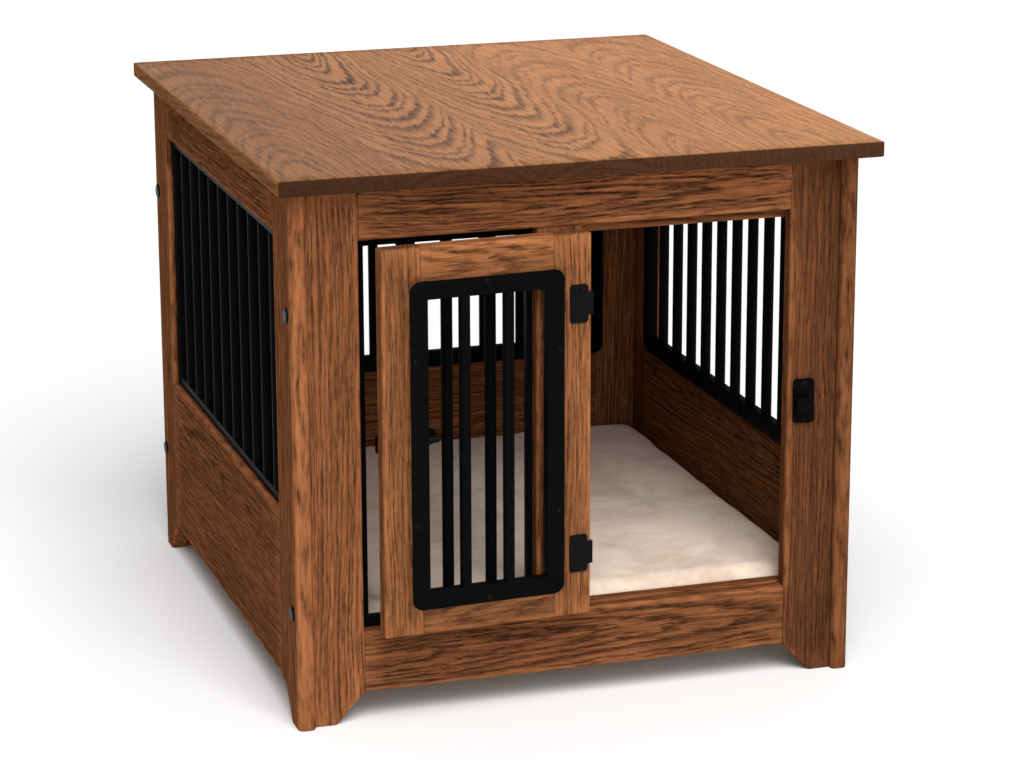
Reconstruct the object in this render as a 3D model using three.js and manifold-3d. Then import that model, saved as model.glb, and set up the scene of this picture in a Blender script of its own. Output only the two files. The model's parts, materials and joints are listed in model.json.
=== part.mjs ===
// Dog crate end table in stained oak: a loose-fitting top over four bolted face frames, black rod
// grilles let into them, a framed door on wrap-round hinges, and a plush cushion on the floor panel.
//
// Millimetres. X runs to the right seen from the front, Y to the back, Z up. The origin is on the
// floor under the middle of the table. The front is at -Y. The door is drawn laid open, almost flat
// against the left half of the front.
import * as THREE from 'three';
import * as BufferGeometryUtils from 'three/addons/utils/BufferGeometryUtils.js';
import Module from 'manifold-3d';

// ---- Driving dimensions ----------------------------------------------------------------------
const HEIGHT = 610; // floor to the upper face of the top
const CASE_WIDTH = 638; // over the outer faces of the two side frames
const CASE_DEPTH = 691; // front to back edge of the side frames
const BOARD = 19; // thickness of every frame board
const TOP_THICKNESS = 17;
const TOP_WIDTH = 671;
const TOP_FRONT_OVERHANG = 27;
const TOP_BACK_OVERHANG = 32.5;
const FRAME_RECESS = 8; // front and back frames sit this far inside the side frames' edges
const BEAD_RADIUS = 6; // rounding on the side frames' front and back edges
const JOINT = 0.2; // hairline between boards that are glued or laid together
const CLEARANCE = 0.3; // gap round a part that is let into or lies on another

const SIDE_STILE = 74; // widths of the side frames' members
const OPENING_TOP = 535; // height of the side and back windows' upper edges
const FRONT_OPENING_TOP = 534;
const SIDE_RAIL_TOP = 228; // height of the side windows' lower edge
const SIDE_RAIL_BOTTOM = 40;
const BACK_STILE_INNER = 247; // x of the back stiles' inner edges
const BACK_RAIL_TOP = 217;
const FRONT_STILE = 57;
const FRONT_RAIL_TOP = 103; // upper edge of the low front rail
const END_RAIL_BOTTOM = 34; // lower edge of the front and back rails
const MULLION_LEFT = -47.5; // the front frame's middle post
const MULLION_RIGHT = 3.5;
const STRIP_X = [-30, 262]; // the strips behind the doorway lap the middle post and the right stile
const STOP_STRIP_Z = [522, 567];
const FOOT_WIDTH = 25; // what is left of a front or back stile on the floor
const SIDE_FOOT_WIDTH = 32;
const SIDE_FOOT_RUN = 30; // how far the slant of a side foot runs along the floor

const GRILLE_THICKNESS = 11;
const GRILLE_BORDER = 20; // width of the flat border round the rods
const GRILLE_LAP = 10; // how far that border lies on the wood round the window
const DOOR_LAP = 11.8; // the same on the door
const GRILLE_CORNER = 12; // corner radius of the border
const ROD_DIAMETER = 12.7;
const ROD_SUNK = 3; // how far a rod's end runs into the border
// Rods of each grille: how many, from rod to rod, and how far their middle is from the window's.
const SIDE_RODS = { count: 10, pitch: 49.6, offset: 0 };
const BACK_RODS = { count: 9, pitch: 48.7, offset: 0 };
const FIXED_RODS = { count: 3, pitch: 48.7, offset: 1.8 };
const DOOR_RODS = { count: 2, pitch: 49.4, offset: 0 };
const FIXED_EXTRA_LAP = 5; // how much further the fixed grille's border laps the middle post

const DOOR_BOTTOM = 107;
const DOOR_TOP = 532;
const DOOR_WIDTH = 235;
const DOOR_HINGE_EDGE = 5.9; // x of the door's hinge edge when shut
const DOOR_OPEN_ANGLE = 176.75; // degrees swung from shut, as drawn
const DOOR_PLATE_LEFT = 30.3; // grille border, measured from the hinge edge
const DOOR_PLATE_RIGHT = 203.8;
const DOOR_PLATE_BOTTOM = 134.6;
const DOOR_PLATE_TOP = 495;

const HINGE_AXIS_X = 4.5;
const HINGE_AXIS_OUT = 4; // hinge axis in front of the front frame's face
const HINGE_HEIGHTS = { upper: 455.8, lower: 177.5 };
const HINGE_PLATE = 42; // height of the hinge plates
const HINGE_ARM = 25; // height of the arm and of the barrel
const HINGE_LEAF = 1.5; // sheet thickness
const DOOR_LEAF = [4, 25]; // limits of the door's hinge plates, measured from the hinge edge
const FRAME_LEAF_X = [-20, 3.4];
const BARREL_RADIUS = 3.2;
const PIN_RADIUS = 1.5;

const LATCH_HEIGHT = 315; // bolt axis
const LATCH_PLATE_RAISE = 3; // middle of the latch and keeper plates above that axis
const LATCH_BASE = [188, 233]; // limits of the latch's base plate, measured from the hinge edge
const LATCH_HOUSING_START = 192;
const LATCH_OUT = 8; // bolt axis in front of the door's face
const KEEPER_X = [249, 273];
const KEEPER_HALF_HEIGHT = 25;
const KEEPER_SETBACK = 8; // how much narrower the keeper's block is than its plate
const BOLT_RADIUS = 4;
const BOLT_TRAVEL = 22;
const KNOB_RADIUS = 9.5;
const KNOB_FROM_HINGE = 171; // knob's place on the door when the bolt is drawn back

const FLOOR_TOP = 69;
const FLOOR_THICKNESS = 9;
const CLEAT = 18;
const CUSHION_TOP = 117;
const CUSHION_ROUNDING = 15;
const CUSHION_CORNER = 20; // corner radius of the flat part, inside the rounding

const SIDE_BOLT_HEIGHTS = { low: 129, high: 458 };
const SIDE_BOLT_INSET = 17.5; // bolt axis from the side frame's front or back edge
const SIDE_BOLT_LENGTH = 62;
const SIDE_BOLT_HEAD_RADIUS = 8.5;
const SIDE_BOLT_RADIUS = 3;
const TOP_SCREW_REACH = 210; // the top's fixing screws stand this far before and behind the middle
const TOP_SCREW_RADIUS = 1.9;

// ---- Worked-out places -----------------------------------------------------------------------
const SIDE_OUT = CASE_WIDTH / 2;
const SIDE_IN = SIDE_OUT - BOARD;
const EDGE = CASE_DEPTH / 2; // front edge of the side frames at -EDGE, back edge at EDGE
const FRONT_FACE = -EDGE + FRAME_RECESS;
const FRONT_INNER = FRONT_FACE + BOARD;
const BACK_INNER = EDGE - FRAME_RECESS - BOARD;
const BACK_FACE = BACK_INNER + BOARD;
const FRAME_TOP = HEIGHT - TOP_THICKNESS - JOINT;
const FRAME_HALF = SIDE_IN - JOINT; // half the width that the front and back frames fill
const STILE_INNER = SIDE_IN - FRONT_STILE; // |x| of the front stiles' inner edges
const SIDE_STILE_INNER = EDGE - SIDE_STILE;

// ---- Finishes --------------------------------------------------------------------------------
const finish = (color, roughness, metalness) => () =>
  new THREE.MeshStandardMaterial({ color, roughness, metalness });
const topOak = finish(0x9c6a45, 0.45, 0);
const frameOak = finish(0x74462b, 0.5, 0);
const doorOak = finish(0x8f5a34, 0.5, 0);
const blackMetal = finish(0x101113, 0.45, 0.6);
const blackSteel = finish(0x1a1b1d, 0.35, 0.8);
const plywood = finish(0xa9845c, 0.7, 0);
const plush = finish(0xd9cbbd, 0.95, 0);

// ---- Solids ----------------------------------------------------------------------------------
const wasm = await Module();
wasm.setup();

/** A copy that holds only positions, with shared vertices merged. */
function welded(geometry) {
  const bare = new THREE.BufferGeometry();
  bare.setAttribute('position', geometry.getAttribute('position').clone());
  if (geometry.index) bare.setIndex(geometry.index.clone());
  return BufferGeometryUtils.mergeVertices(bare, 1e-4);
}

function solidOf(geometry) {
  const bare = welded(geometry);
  return new wasm.Manifold(new wasm.Mesh({
    numProp: 3,
    vertProperties: new Float32Array(bare.attributes.position.array),
    triVerts: new Uint32Array(bare.index.array),
  }));
}

function geometryOf(solid) {
  const mesh = solid.getMesh();
  const geometry = new THREE.BufferGeometry();
  geometry.setAttribute('position', new THREE.BufferAttribute(mesh.vertProperties, 3));
  geometry.setIndex(new THREE.BufferAttribute(mesh.triVerts, 1));
  return geometry;
}

const join = (...pieces) => geometryOf(pieces.map(solidOf).reduce((a, b) => a.add(b)));
const cut = (body, tools) =>
  geometryOf(tools.reduce((solid, tool) => solid.subtract(solidOf(tool)), solidOf(body)));

/** The same solid seen in a mirror standing on x = 0, with its faces turned out again. */
function mirrored(geometry) {
  const copy = welded(geometry);
  const position = copy.attributes.position;
  for (let i = 0; i < position.count; i += 1) position.setX(i, -position.getX(i));
  const index = copy.index;
  for (let i = 0; i < index.count; i += 3) {
    const first = index.getX(i);
    index.setX(i, index.getX(i + 1));
    index.setX(i + 1, first);
  }
  return copy;
}

function box(x, y, z) {
  const geometry = new THREE.BoxGeometry(x[1] - x[0], y[1] - y[0], z[1] - z[0]);
  return geometry.translate((x[0] + x[1]) / 2, (y[0] + y[1]) / 2, (z[0] + z[1]) / 2);
}

// A drawing's own axes: across, up, and the way that it is thickened.
const FRONT_VIEW = new THREE.Matrix4().makeBasis(
  new THREE.Vector3(1, 0, 0), new THREE.Vector3(0, 0, 1), new THREE.Vector3(0, -1, 0));
const SIDE_VIEW = new THREE.Matrix4().makeBasis(
  new THREE.Vector3(0, 1, 0), new THREE.Vector3(0, 0, 1), new THREE.Vector3(1, 0, 0));

/** An outline drawn in x and z, thickened from y[0] to y[1]. */
function frontBoard(outline, y) {
  const geometry = new THREE.ExtrudeGeometry(outline, { depth: y[1] - y[0], bevelEnabled: false });
  return geometry.applyMatrix4(FRONT_VIEW).translate(0, y[1], 0);
}

/** An outline drawn in y and z, thickened from x[0] to x[1]. */
function sideBoard(outline, x) {
  const geometry = new THREE.ExtrudeGeometry(outline, { depth: x[1] - x[0], bevelEnabled: false });
  return geometry.applyMatrix4(SIDE_VIEW).translate(x[0], 0, 0);
}

/** An outline drawn in x and y, thickened from z[0] to z[1]. */
function flatPiece(outline, z) {
  const geometry = new THREE.ExtrudeGeometry(outline, { depth: z[1] - z[0], bevelEnabled: false });
  return geometry.translate(0, 0, z[0]);
}

const polygon = (points) => new THREE.Shape(points.map(([a, b]) => new THREE.Vector2(a, b)));

function roundedOutline(a0, a1, b0, b1, radius) {
  const shape = new THREE.Shape();
  shape.moveTo(a0 + radius, b0);
  shape.lineTo(a1 - radius, b0);
  shape.absarc(a1 - radius, b0 + radius, radius, -Math.PI / 2, 0);
  shape.lineTo(a1, b1 - radius);
  shape.absarc(a1 - radius, b1 - radius, radius, 0, Math.PI / 2);
  shape.lineTo(a0 + radius, b1);
  shape.absarc(a0 + radius, b1 - radius, radius, Math.PI / 2, Math.PI);
  shape.lineTo(a0, b0 + radius);
  shape.absarc(a0 + radius, b0 + radius, radius, Math.PI, 1.5 * Math.PI);
  return shape;
}

const UP = new THREE.Vector3(0, 0, 1);

/** Turns a piece that points up +Z to point along a direction, and moves it to its place. */
function aimed(geometry, place, direction) {
  const turn = new THREE.Quaternion().setFromUnitVectors(UP, new THREE.Vector3(...direction));
  return geometry.applyQuaternion(turn).translate(...place);
}

/** A rod from a place, along a direction. */
function rod(radius, length, sides, place, direction) {
  const geometry = new THREE.CylinderGeometry(radius, radius, length, sides);
  geometry.rotateX(Math.PI / 2).translate(0, 0, length / 2);
  return aimed(geometry, place, direction);
}

/** A turned piece: profile points are [radius, height], and the piece points along a direction. */
function turned(profile, sides, place, direction) {
  const geometry = new THREE.LatheGeometry(profile.map(([r, h]) => new THREE.Vector2(r, h)), sides);
  return aimed(geometry.rotateX(Math.PI / 2), place, direction);
}

const TOWARD = { left: [-1, 0, 0], right: [1, 0, 0], front: [0, -1, 0] };

// ---- Grilles ---------------------------------------------------------------------------------
/** Lower and upper limits of a grille's border, round a window. */
const borderOf = (a, b) => ({
  a: [a[0] - GRILLE_LAP, a[1] + GRILLE_LAP],
  b: [b[0] - GRILLE_LAP, b[1] + GRILLE_LAP],
});

/** A flat border with round corners and evenly spaced upright rods, drawn in its own plane. */
function grille(border, rods) {
  const { a, b } = border;
  const outline = roundedOutline(a[0], a[1], b[0], b[1], GRILLE_CORNER);
  const inner = [a[0] + GRILLE_BORDER, a[1] - GRILLE_BORDER, b[0] + GRILLE_BORDER, b[1] - GRILLE_BORDER];
  outline.holes.push(new THREE.Path([
    new THREE.Vector2(inner[0], inner[2]), new THREE.Vector2(inner[0], inner[3]),
    new THREE.Vector2(inner[1], inner[3]), new THREE.Vector2(inner[1], inner[2])]));
  const plate = new THREE.ExtrudeGeometry(outline,
    { depth: GRILLE_THICKNESS, bevelEnabled: false, curveSegments: 5 });
  const first = (a[0] + a[1]) / 2 + rods.offset - (rods.pitch * (rods.count - 1)) / 2;
  const bars = Array.from({ length: rods.count }, (_, i) => {
    const start = [first + rods.pitch * i, inner[2] - ROD_SUNK, GRILLE_THICKNESS / 2];
    return rod(ROD_DIAMETER / 2, inner[3] - inner[2] + 2 * ROD_SUNK, 12, start, [0, 1, 0]);
  });
  return join(plate, ...bars);
}

/** The pocket that a grille's border is let into, in the grille's own plane. */
function pocket(border, below) {
  const { a, b } = border;
  const outline = roundedOutline(a[0] - CLEARANCE, a[1] + CLEARANCE, b[0] - CLEARANCE,
    b[1] + CLEARANCE, GRILLE_CORNER + CLEARANCE);
  const geometry = new THREE.ExtrudeGeometry(outline,
    { depth: GRILLE_THICKNESS + CLEARANCE + 2, bevelEnabled: false, curveSegments: 5 });
  return geometry.translate(0, 0, below ? -CLEARANCE : -2);
}

// ---- The assembly ----------------------------------------------------------------------------
const crate = new THREE.Group();
const door = new THREE.Group();
crate.add(door);

function part(name, geometry, material, parent = crate) {
  const mesh = new THREE.Mesh(geometry, material());
  mesh.name = name;
  parent.add(mesh);
  return mesh;
}

// ---- Top -------------------------------------------------------------------------------------
const cleatHalfLength = 280;
const cleatMiddle = SIDE_IN - CLEARANCE - CLEAT / 2;
const topScrewHole = (place) => rod(TOP_SCREW_RADIUS + CLEARANCE, CLEAT + 9, 8,
  [place[0], place[1], FRAME_TOP - CLEAT - 1], UP.toArray());

/** A top-fixing screw: its pan head is under the cleat, its shank goes up through it into the top. */
function topScrew(place) {
  const r = TOP_SCREW_RADIUS;
  const profile = [[0, -CLEAT - 7], [r, -CLEAT - 4], [r, 0.1], [4, 0.1], [4, 1], [2.4, 2], [0, 2]];
  return turned(profile, 10, place, [0, 0, -1]);
}

const topScrewPlaces = {};
for (const [side, x] of [['left', -cleatMiddle], ['right', cleatMiddle]]) {
  topScrewPlaces[`${side}_front_top_screw`] = [x, -TOP_SCREW_REACH, FRAME_TOP - CLEAT];
  topScrewPlaces[`${side}_back_top_screw`] = [x, TOP_SCREW_REACH, FRAME_TOP - CLEAT];
}
const topScrewHoles = () => Object.values(topScrewPlaces).map(topScrewHole);

part('tabletop', cut(
  box([-TOP_WIDTH / 2, TOP_WIDTH / 2], [-EDGE - TOP_FRONT_OVERHANG, EDGE + TOP_BACK_OVERHANG],
    [HEIGHT - TOP_THICKNESS, HEIGHT]), topScrewHoles()), topOak);
for (const [side, x] of [['left', -cleatMiddle], ['right', cleatMiddle]]) {
  part(`${side}_top_cleat`, cut(
    box([x - CLEAT / 2, x + CLEAT / 2], [-cleatHalfLength, cleatHalfLength],
      [FRAME_TOP - CLEAT, FRAME_TOP]), topScrewHoles()), frameOak);
}
for (const [name, place] of Object.entries(topScrewPlaces)) part(name, topScrew(place), blackSteel);

// ---- Side frames -----------------------------------------------------------------------------
// Drawn for the left side, whose grille is let into the inner faces, and mirrored for the right.
const sideWindow = borderOf([-SIDE_STILE_INNER, SIDE_STILE_INNER], [SIDE_RAIL_TOP, OPENING_TOP]);
const sideGrilleX = -SIDE_IN - GRILLE_THICKNESS;
const placeSide = (geometry) => geometry.applyMatrix4(SIDE_VIEW).translate(sideGrilleX, 0, 0);

/** Where the connector bolts enter the left side frame's outer face, by name. */
const boltPlaces = {};
for (const [end, sign] of [['front', -1], ['back', 1]]) {
  for (const [level, z] of Object.entries(SIDE_BOLT_HEIGHTS)) {
    boltPlaces[`${end}_${level}_bolt`] = [-SIDE_OUT, sign * (EDGE - SIDE_BOLT_INSET), z];
  }
}
const boltHoles = () => Object.values(boltPlaces).map(([x, y, z]) =>
  rod(SIDE_BOLT_RADIUS + CLEARANCE, SIDE_BOLT_LENGTH + 2, 12, [x - 1, y, z], TOWARD.right));

/** A side stile with a slanted foot and a rounded outer edge; end is -1 at the front, 1 behind. */
function sideStile(end) {
  const y = (inset) => end * (EDGE - inset);
  const points = [[y(0), 0], [y(SIDE_FOOT_WIDTH), 0],
    [y(SIDE_FOOT_WIDTH + SIDE_FOOT_RUN), SIDE_RAIL_BOTTOM], [y(SIDE_STILE), SIDE_RAIL_BOTTOM],
    [y(SIDE_STILE), FRAME_TOP], [y(0), FRAME_TOP]];
  const board = sideBoard(polygon(end < 0 ? points : points.reverse()), [-SIDE_OUT, -SIDE_IN]);
  const section = roundedOutline(-SIDE_OUT, -SIDE_IN, -EDGE, EDGE, BEAD_RADIUS);
  const rounded = geometryOf(solidOf(board).intersect(solidOf(flatPiece(section, [-1, HEIGHT]))));
  return cut(rounded, [placeSide(pocket(sideWindow, true)), ...boltHoles()]);
}

function sideRail(bottom, top) {
  const half = SIDE_STILE_INNER - JOINT;
  const board = box([-SIDE_OUT, -SIDE_IN], [-half, half], [bottom, top]);
  return cut(board, [placeSide(pocket(sideWindow, true))]);
}

const sideParts = {
  side_front_stile: [sideStile(-1), frameOak],
  side_back_stile: [sideStile(1), frameOak],
  side_top_rail: [sideRail(OPENING_TOP, FRAME_TOP), frameOak],
  side_bottom_rail: [sideRail(SIDE_RAIL_BOTTOM, SIDE_RAIL_TOP), frameOak],
  side_grille: [placeSide(grille(sideWindow, SIDE_RODS)), blackMetal],
};

/** A connector bolt with a wide low head, run through the side stile into the edge of the next. */
function sideBolt(place) {
  const r = SIDE_BOLT_HEAD_RADIUS;
  const profile = [[0, -SIDE_BOLT_LENGTH], [SIDE_BOLT_RADIUS, -SIDE_BOLT_LENGTH],
    [SIDE_BOLT_RADIUS, 0.1], [r, 0.1], [r, 1.6], [r * 0.8, 2.6], [0, 2.6]];
  return turned(profile, 16, place, TOWARD.left);
}
for (const [name, place] of Object.entries(boltPlaces)) {
  sideParts[name] = [sideBolt(place), blackSteel];
}

for (const [name, [geometry, material]] of Object.entries(sideParts)) {
  part(`left_${name}`, geometry, material);
  part(`right_${name}`, mirrored(geometry), material);
}

// ---- Front frame -----------------------------------------------------------------------------
const fixedWindow = borderOf([-STILE_INNER, MULLION_LEFT + FIXED_EXTRA_LAP],
  [FRONT_RAIL_TOP, FRONT_OPENING_TOP]);
const frameBoltHoles = () => [...boltHoles(), ...boltHoles().map(mirrored)];

/** A stile with a slanted foot, in the front or back frame; side is -1 at the left, 1 at the right. */
function endStile(side, inner, y) {
  const outer = side * FRAME_HALF;
  const points = [[outer, 0], [outer - side * FOOT_WIDTH, 0], [side * inner, END_RAIL_BOTTOM],
    [side * inner, FRAME_TOP], [outer, FRAME_TOP]];
  return frontBoard(polygon(side < 0 ? points : points.reverse()), y);
}

const frontY = [FRONT_FACE, FRONT_INNER];
part('front_left_stile', cut(endStile(-1, STILE_INNER, frontY), frameBoltHoles()), frameOak);
part('front_right_stile', cut(endStile(1, STILE_INNER, frontY), frameBoltHoles()), frameOak);
const frontRailX = [-STILE_INNER + JOINT, STILE_INNER - JOINT];
part('front_top_rail', box(frontRailX, frontY, [FRONT_OPENING_TOP, FRAME_TOP]), frameOak);
part('front_bottom_rail', box(frontRailX, frontY, [END_RAIL_BOTTOM, FRONT_RAIL_TOP]), frameOak);
part('front_mullion', box([MULLION_LEFT, MULLION_RIGHT], frontY,
  [FRONT_RAIL_TOP + JOINT, FRONT_OPENING_TOP - JOINT]), frameOak);

const stripY = [FRONT_INNER + CLEARANCE, FRONT_INNER + CLEARANCE + BOARD];
part('door_stop_strip', box(STRIP_X, stripY, STOP_STRIP_Z), frameOak);
part('door_sill_strip', box(STRIP_X, stripY, [FLOOR_TOP + CLEARANCE, FRONT_RAIL_TOP]), frameOak);

const placeFixed = (geometry) => geometry.applyMatrix4(FRONT_VIEW)
  .translate(0, FRONT_INNER + CLEARANCE + GRILLE_THICKNESS, 0);
part('front_grille', placeFixed(grille(fixedWindow, FIXED_RODS)), blackMetal);

// ---- Back frame ------------------------------------------------------------------------------
const backY = [BACK_INNER, BACK_FACE];
const backWindow = borderOf([-BACK_STILE_INNER, BACK_STILE_INNER], [BACK_RAIL_TOP, OPENING_TOP]);
const placeBack = (geometry) => geometry.applyMatrix4(FRONT_VIEW)
  .translate(0, BACK_INNER + GRILLE_THICKNESS, 0);
const backPocket = () => placeBack(pocket(backWindow, true));
const backRailX = [-BACK_STILE_INNER + JOINT, BACK_STILE_INNER - JOINT];

part('back_left_stile', cut(endStile(-1, BACK_STILE_INNER, backY),
  [backPocket(), ...frameBoltHoles()]), frameOak);
part('back_right_stile', cut(endStile(1, BACK_STILE_INNER, backY),
  [backPocket(), ...frameBoltHoles()]), frameOak);
part('back_top_rail', cut(box(backRailX, backY, [OPENING_TOP, FRAME_TOP]), [backPocket()]), frameOak);
part('back_bottom_rail', cut(box(backRailX, backY, [END_RAIL_BOTTOM, BACK_RAIL_TOP]),
  [backPocket()]), frameOak);
part('back_grille', placeBack(grille(backWindow, BACK_RODS)), blackMetal);

// ---- Floor -----------------------------------------------------------------------------------
const cleatZ = [FLOOR_TOP - FLOOR_THICKNESS - CLEARANCE - CLEAT, FLOOR_TOP - FLOOR_THICKNESS - CLEARANCE];
const cleatHalf = SIDE_IN - CLEARANCE; // from the inner face of one side to the other
const frontCleatY = [FRONT_INNER + CLEARANCE, FRONT_INNER + CLEARANCE + CLEAT];
const backCleatY = [BACK_INNER - CLEARANCE - CLEAT, BACK_INNER - CLEARANCE];
const sideCleat = box([-cleatHalf, -cleatHalf + CLEAT],
  [frontCleatY[1] + CLEARANCE, backCleatY[0] - CLEARANCE], cleatZ);
part('front_floor_cleat', box([-cleatHalf, cleatHalf], frontCleatY, cleatZ), frameOak);
part('back_floor_cleat', box([-cleatHalf, cleatHalf], backCleatY, cleatZ), frameOak);
part('left_floor_cleat', sideCleat, frameOak);
part('right_floor_cleat', mirrored(sideCleat), frameOak);
part('floor_panel', box([-cleatHalf, cleatHalf], [frontCleatY[0], backCleatY[1]],
  [FLOOR_TOP - FLOOR_THICKNESS, FLOOR_TOP]), plywood);

const cushionOutline = roundedOutline(
  -SIDE_IN + 3 + CUSHION_ROUNDING, SIDE_IN - 3 - CUSHION_ROUNDING,
  stripY[1] + 2 + CUSHION_ROUNDING, BACK_INNER - 3 - CUSHION_ROUNDING, CUSHION_CORNER);
const cushion = new THREE.ExtrudeGeometry(cushionOutline, {
  depth: CUSHION_TOP - FLOOR_TOP - JOINT - 2 * CUSHION_ROUNDING,
  bevelEnabled: true, bevelThickness: CUSHION_ROUNDING, bevelSize: CUSHION_ROUNDING,
  bevelSegments: 3, curveSegments: 5,
});
part('cushion', cushion.translate(0, 0, FLOOR_TOP + JOINT + CUSHION_ROUNDING), plush);

// ---- Door ------------------------------------------------------------------------------------
// Drawn shut, in a frame whose origin is on the hinge axis at floor level, then swung open.
const axisY = FRONT_FACE - HINGE_AXIS_OUT;
const doorX = (fromHinge) => DOOR_HINGE_EDGE + fromHinge - HINGE_AXIS_X;
const faceY = FRONT_FACE - axisY; // the door's outer face, seen from the axis
const innerY = faceY + BOARD;
const doorY = [faceY, innerY];
const doorBorder = {
  a: [doorX(DOOR_PLATE_LEFT), doorX(DOOR_PLATE_RIGHT)],
  b: [DOOR_PLATE_BOTTOM, DOOR_PLATE_TOP],
};
const doorWindow = {
  x: doorBorder.a.map((v, i) => v + (i ? -DOOR_LAP : DOOR_LAP)),
  z: doorBorder.b.map((v, i) => v + (i ? -DOOR_LAP : DOOR_LAP)),
};
const placeDoorGrille = (geometry) => geometry.applyMatrix4(FRONT_VIEW).translate(0, innerY, 0);
const doorPocket = () => [placeDoorGrille(pocket(doorBorder, false))];

part('door_hinge_stile', cut(
  box([doorX(0), doorWindow.x[0]], doorY, [DOOR_BOTTOM, DOOR_TOP]), doorPocket()), doorOak, door);
part('door_latch_stile', cut(
  box([doorWindow.x[1], doorX(DOOR_WIDTH)], doorY, [DOOR_BOTTOM, DOOR_TOP]), doorPocket()),
  doorOak, door);
const doorRailX = [doorWindow.x[0] + JOINT, doorWindow.x[1] - JOINT];
part('door_top_rail', cut(box(doorRailX, doorY, [doorWindow.z[1], DOOR_TOP]), doorPocket()),
  doorOak, door);
part('door_bottom_rail', cut(box(doorRailX, doorY, [DOOR_BOTTOM, doorWindow.z[0]]), doorPocket()),
  doorOak, door);
part('door_grille', placeDoorGrille(grille(doorBorder, DOOR_RODS)), blackMetal, door);

// ---- Hinges ----------------------------------------------------------------------------------
const knuckleGap = 0.4;
const knuckle = HINGE_ARM / 3;
const barrelHole = (z) => rod(PIN_RADIUS + 0.3, HINGE_ARM + 4, 12, [0, 0, z - HINGE_ARM / 2 - 2], UP.toArray());

/** The door's half: a plate on the inner face, an arm round the edge and the middle knuckle. */
function doorLeaf(z) {
  const plateY = [innerY + CLEARANCE, innerY + CLEARANCE + HINGE_LEAF];
  const outline = roundedOutline(doorX(DOOR_LEAF[0]), doorX(DOOR_LEAF[1]), z - HINGE_PLATE / 2, z + HINGE_PLATE / 2, 4);
  const plate = frontBoard(outline, plateY);
  const armX = [doorX(0) - CLEARANCE - HINGE_LEAF, doorX(0) - CLEARANCE];
  const armZ = [z - HINGE_ARM / 2, z + HINGE_ARM / 2];
  const middleZ = [z - knuckle / 2 + knuckleGap, z + knuckle / 2 - knuckleGap];
  const arm = box(armX, [faceY - CLEARANCE, plateY[1]], armZ);
  const across = box([armX[0], doorX(6)], plateY, armZ);
  const neck = box(armX, [0, faceY], middleZ);
  const ring = rod(BARREL_RADIUS, middleZ[1] - middleZ[0], 16, [0, 0, middleZ[0]], UP.toArray());
  return cut(join(plate, across, arm, neck, ring), [barrelHole(z)]);
}

/** The frame's half: a plate on the mullion's face with the upper and lower knuckles. */
function frameLeaf(z) {
  const plateY = [FRONT_FACE - CLEARANCE - HINGE_LEAF, FRONT_FACE - CLEARANCE];
  const outline = roundedOutline(FRAME_LEAF_X[0], FRAME_LEAF_X[1], z - HINGE_PLATE / 2, z + HINGE_PLATE / 2, 4);
  const plate = frontBoard(outline, plateY);
  const slot = box([0.5, 9], [axisY - 5, FRONT_FACE], [z - knuckle / 2, z + knuckle / 2]);
  const rings = [z - HINGE_ARM / 2, z + knuckle / 2].map((bottom) =>
    rod(BARREL_RADIUS, knuckle, 16, [HINGE_AXIS_X, axisY, bottom], UP.toArray()));
  return cut(join(plate, ...rings), [slot, barrelHole(z).translate(HINGE_AXIS_X, axisY, 0)]);
}

/** The pin, with a low button at each end of the barrel. */
function hingePin(z) {
  const reach = HINGE_ARM / 2 + 0.2;
  const button = 2.2;
  const profile = [[0, -reach - 1.5], [button, -reach - 1], [button, -reach], [PIN_RADIUS, -reach],
    [PIN_RADIUS, reach], [button, reach], [button, reach + 1], [0, reach + 1.5]];
  return turned(profile, 12, [HINGE_AXIS_X, axisY, z], UP.toArray());
}

for (const [name, z] of Object.entries(HINGE_HEIGHTS)) {
  part(`${name}_hinge_frame_leaf`, frameLeaf(z), blackSteel);
  part(`${name}_hinge_door_leaf`, doorLeaf(z), blackSteel, door);
  part(`${name}_hinge_pin`, hingePin(z), blackSteel);
}
// ---- Latch -----------------------------------------------------------------------------------
const latchX = LATCH_BASE.map(doorX);
const housingX = [doorX(LATCH_HOUSING_START), latchX[1]];
const latchPlate = 2; // thickness of the latch's base plate
const latchHalfHeight = 23;
const plateMiddle = LATCH_HEIGHT + LATCH_PLATE_RAISE;
const boltY = faceY - LATCH_OUT;
const ALONG = [1, 0, 0];
const caseDepth = 14;
const latchFace = faceY - CLEARANCE;
const latchBase = frontBoard(
  roundedOutline(latchX[0], latchX[1], plateMiddle - latchHalfHeight, plateMiddle + latchHalfHeight, 4),
  [latchFace - latchPlate, latchFace]);
const latchHousing = box(housingX, [latchFace - caseDepth, latchFace - latchPlate / 2],
  [LATCH_HEIGHT - 9, LATCH_HEIGHT + 9]);
const neckHalf = 2.6;
const neckSlot = box([housingX[0] - 1, doorX(KNOB_FROM_HINGE + BOLT_TRAVEL + neckHalf + 1)],
  [latchFace - caseDepth - 1, boltY], [LATCH_HEIGHT - neckHalf - 0.6, LATCH_HEIGHT + neckHalf + 0.6]);
const boltBore = rod(BOLT_RADIUS + 0.4, 60, 16, [housingX[0] - 5, boltY, LATCH_HEIGHT], ALONG);
part('latch_case', cut(join(latchBase, latchHousing), [neckSlot, boltBore]), blackMetal, door);
const boltStart = doorX(KNOB_FROM_HINGE - 7);
const boltEnd = doorX(232.5);
const boltRod = rod(BOLT_RADIUS, boltEnd - boltStart, 16, [boltStart, boltY, LATCH_HEIGHT], ALONG);
const knobX = doorX(KNOB_FROM_HINGE);
const neck = rod(neckHalf, 7, 12, [knobX, boltY - 1, LATCH_HEIGHT], TOWARD.front);
part('latch_bolt', join(boltRod, neck), blackSteel, door);
const knobProfile = [[0, 0], [4.5, 0], [6, 1.5], [KNOB_RADIUS, 3], [KNOB_RADIUS, 7.5],
  [KNOB_RADIUS * 0.75, 9.5], [0, 10]];
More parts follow.
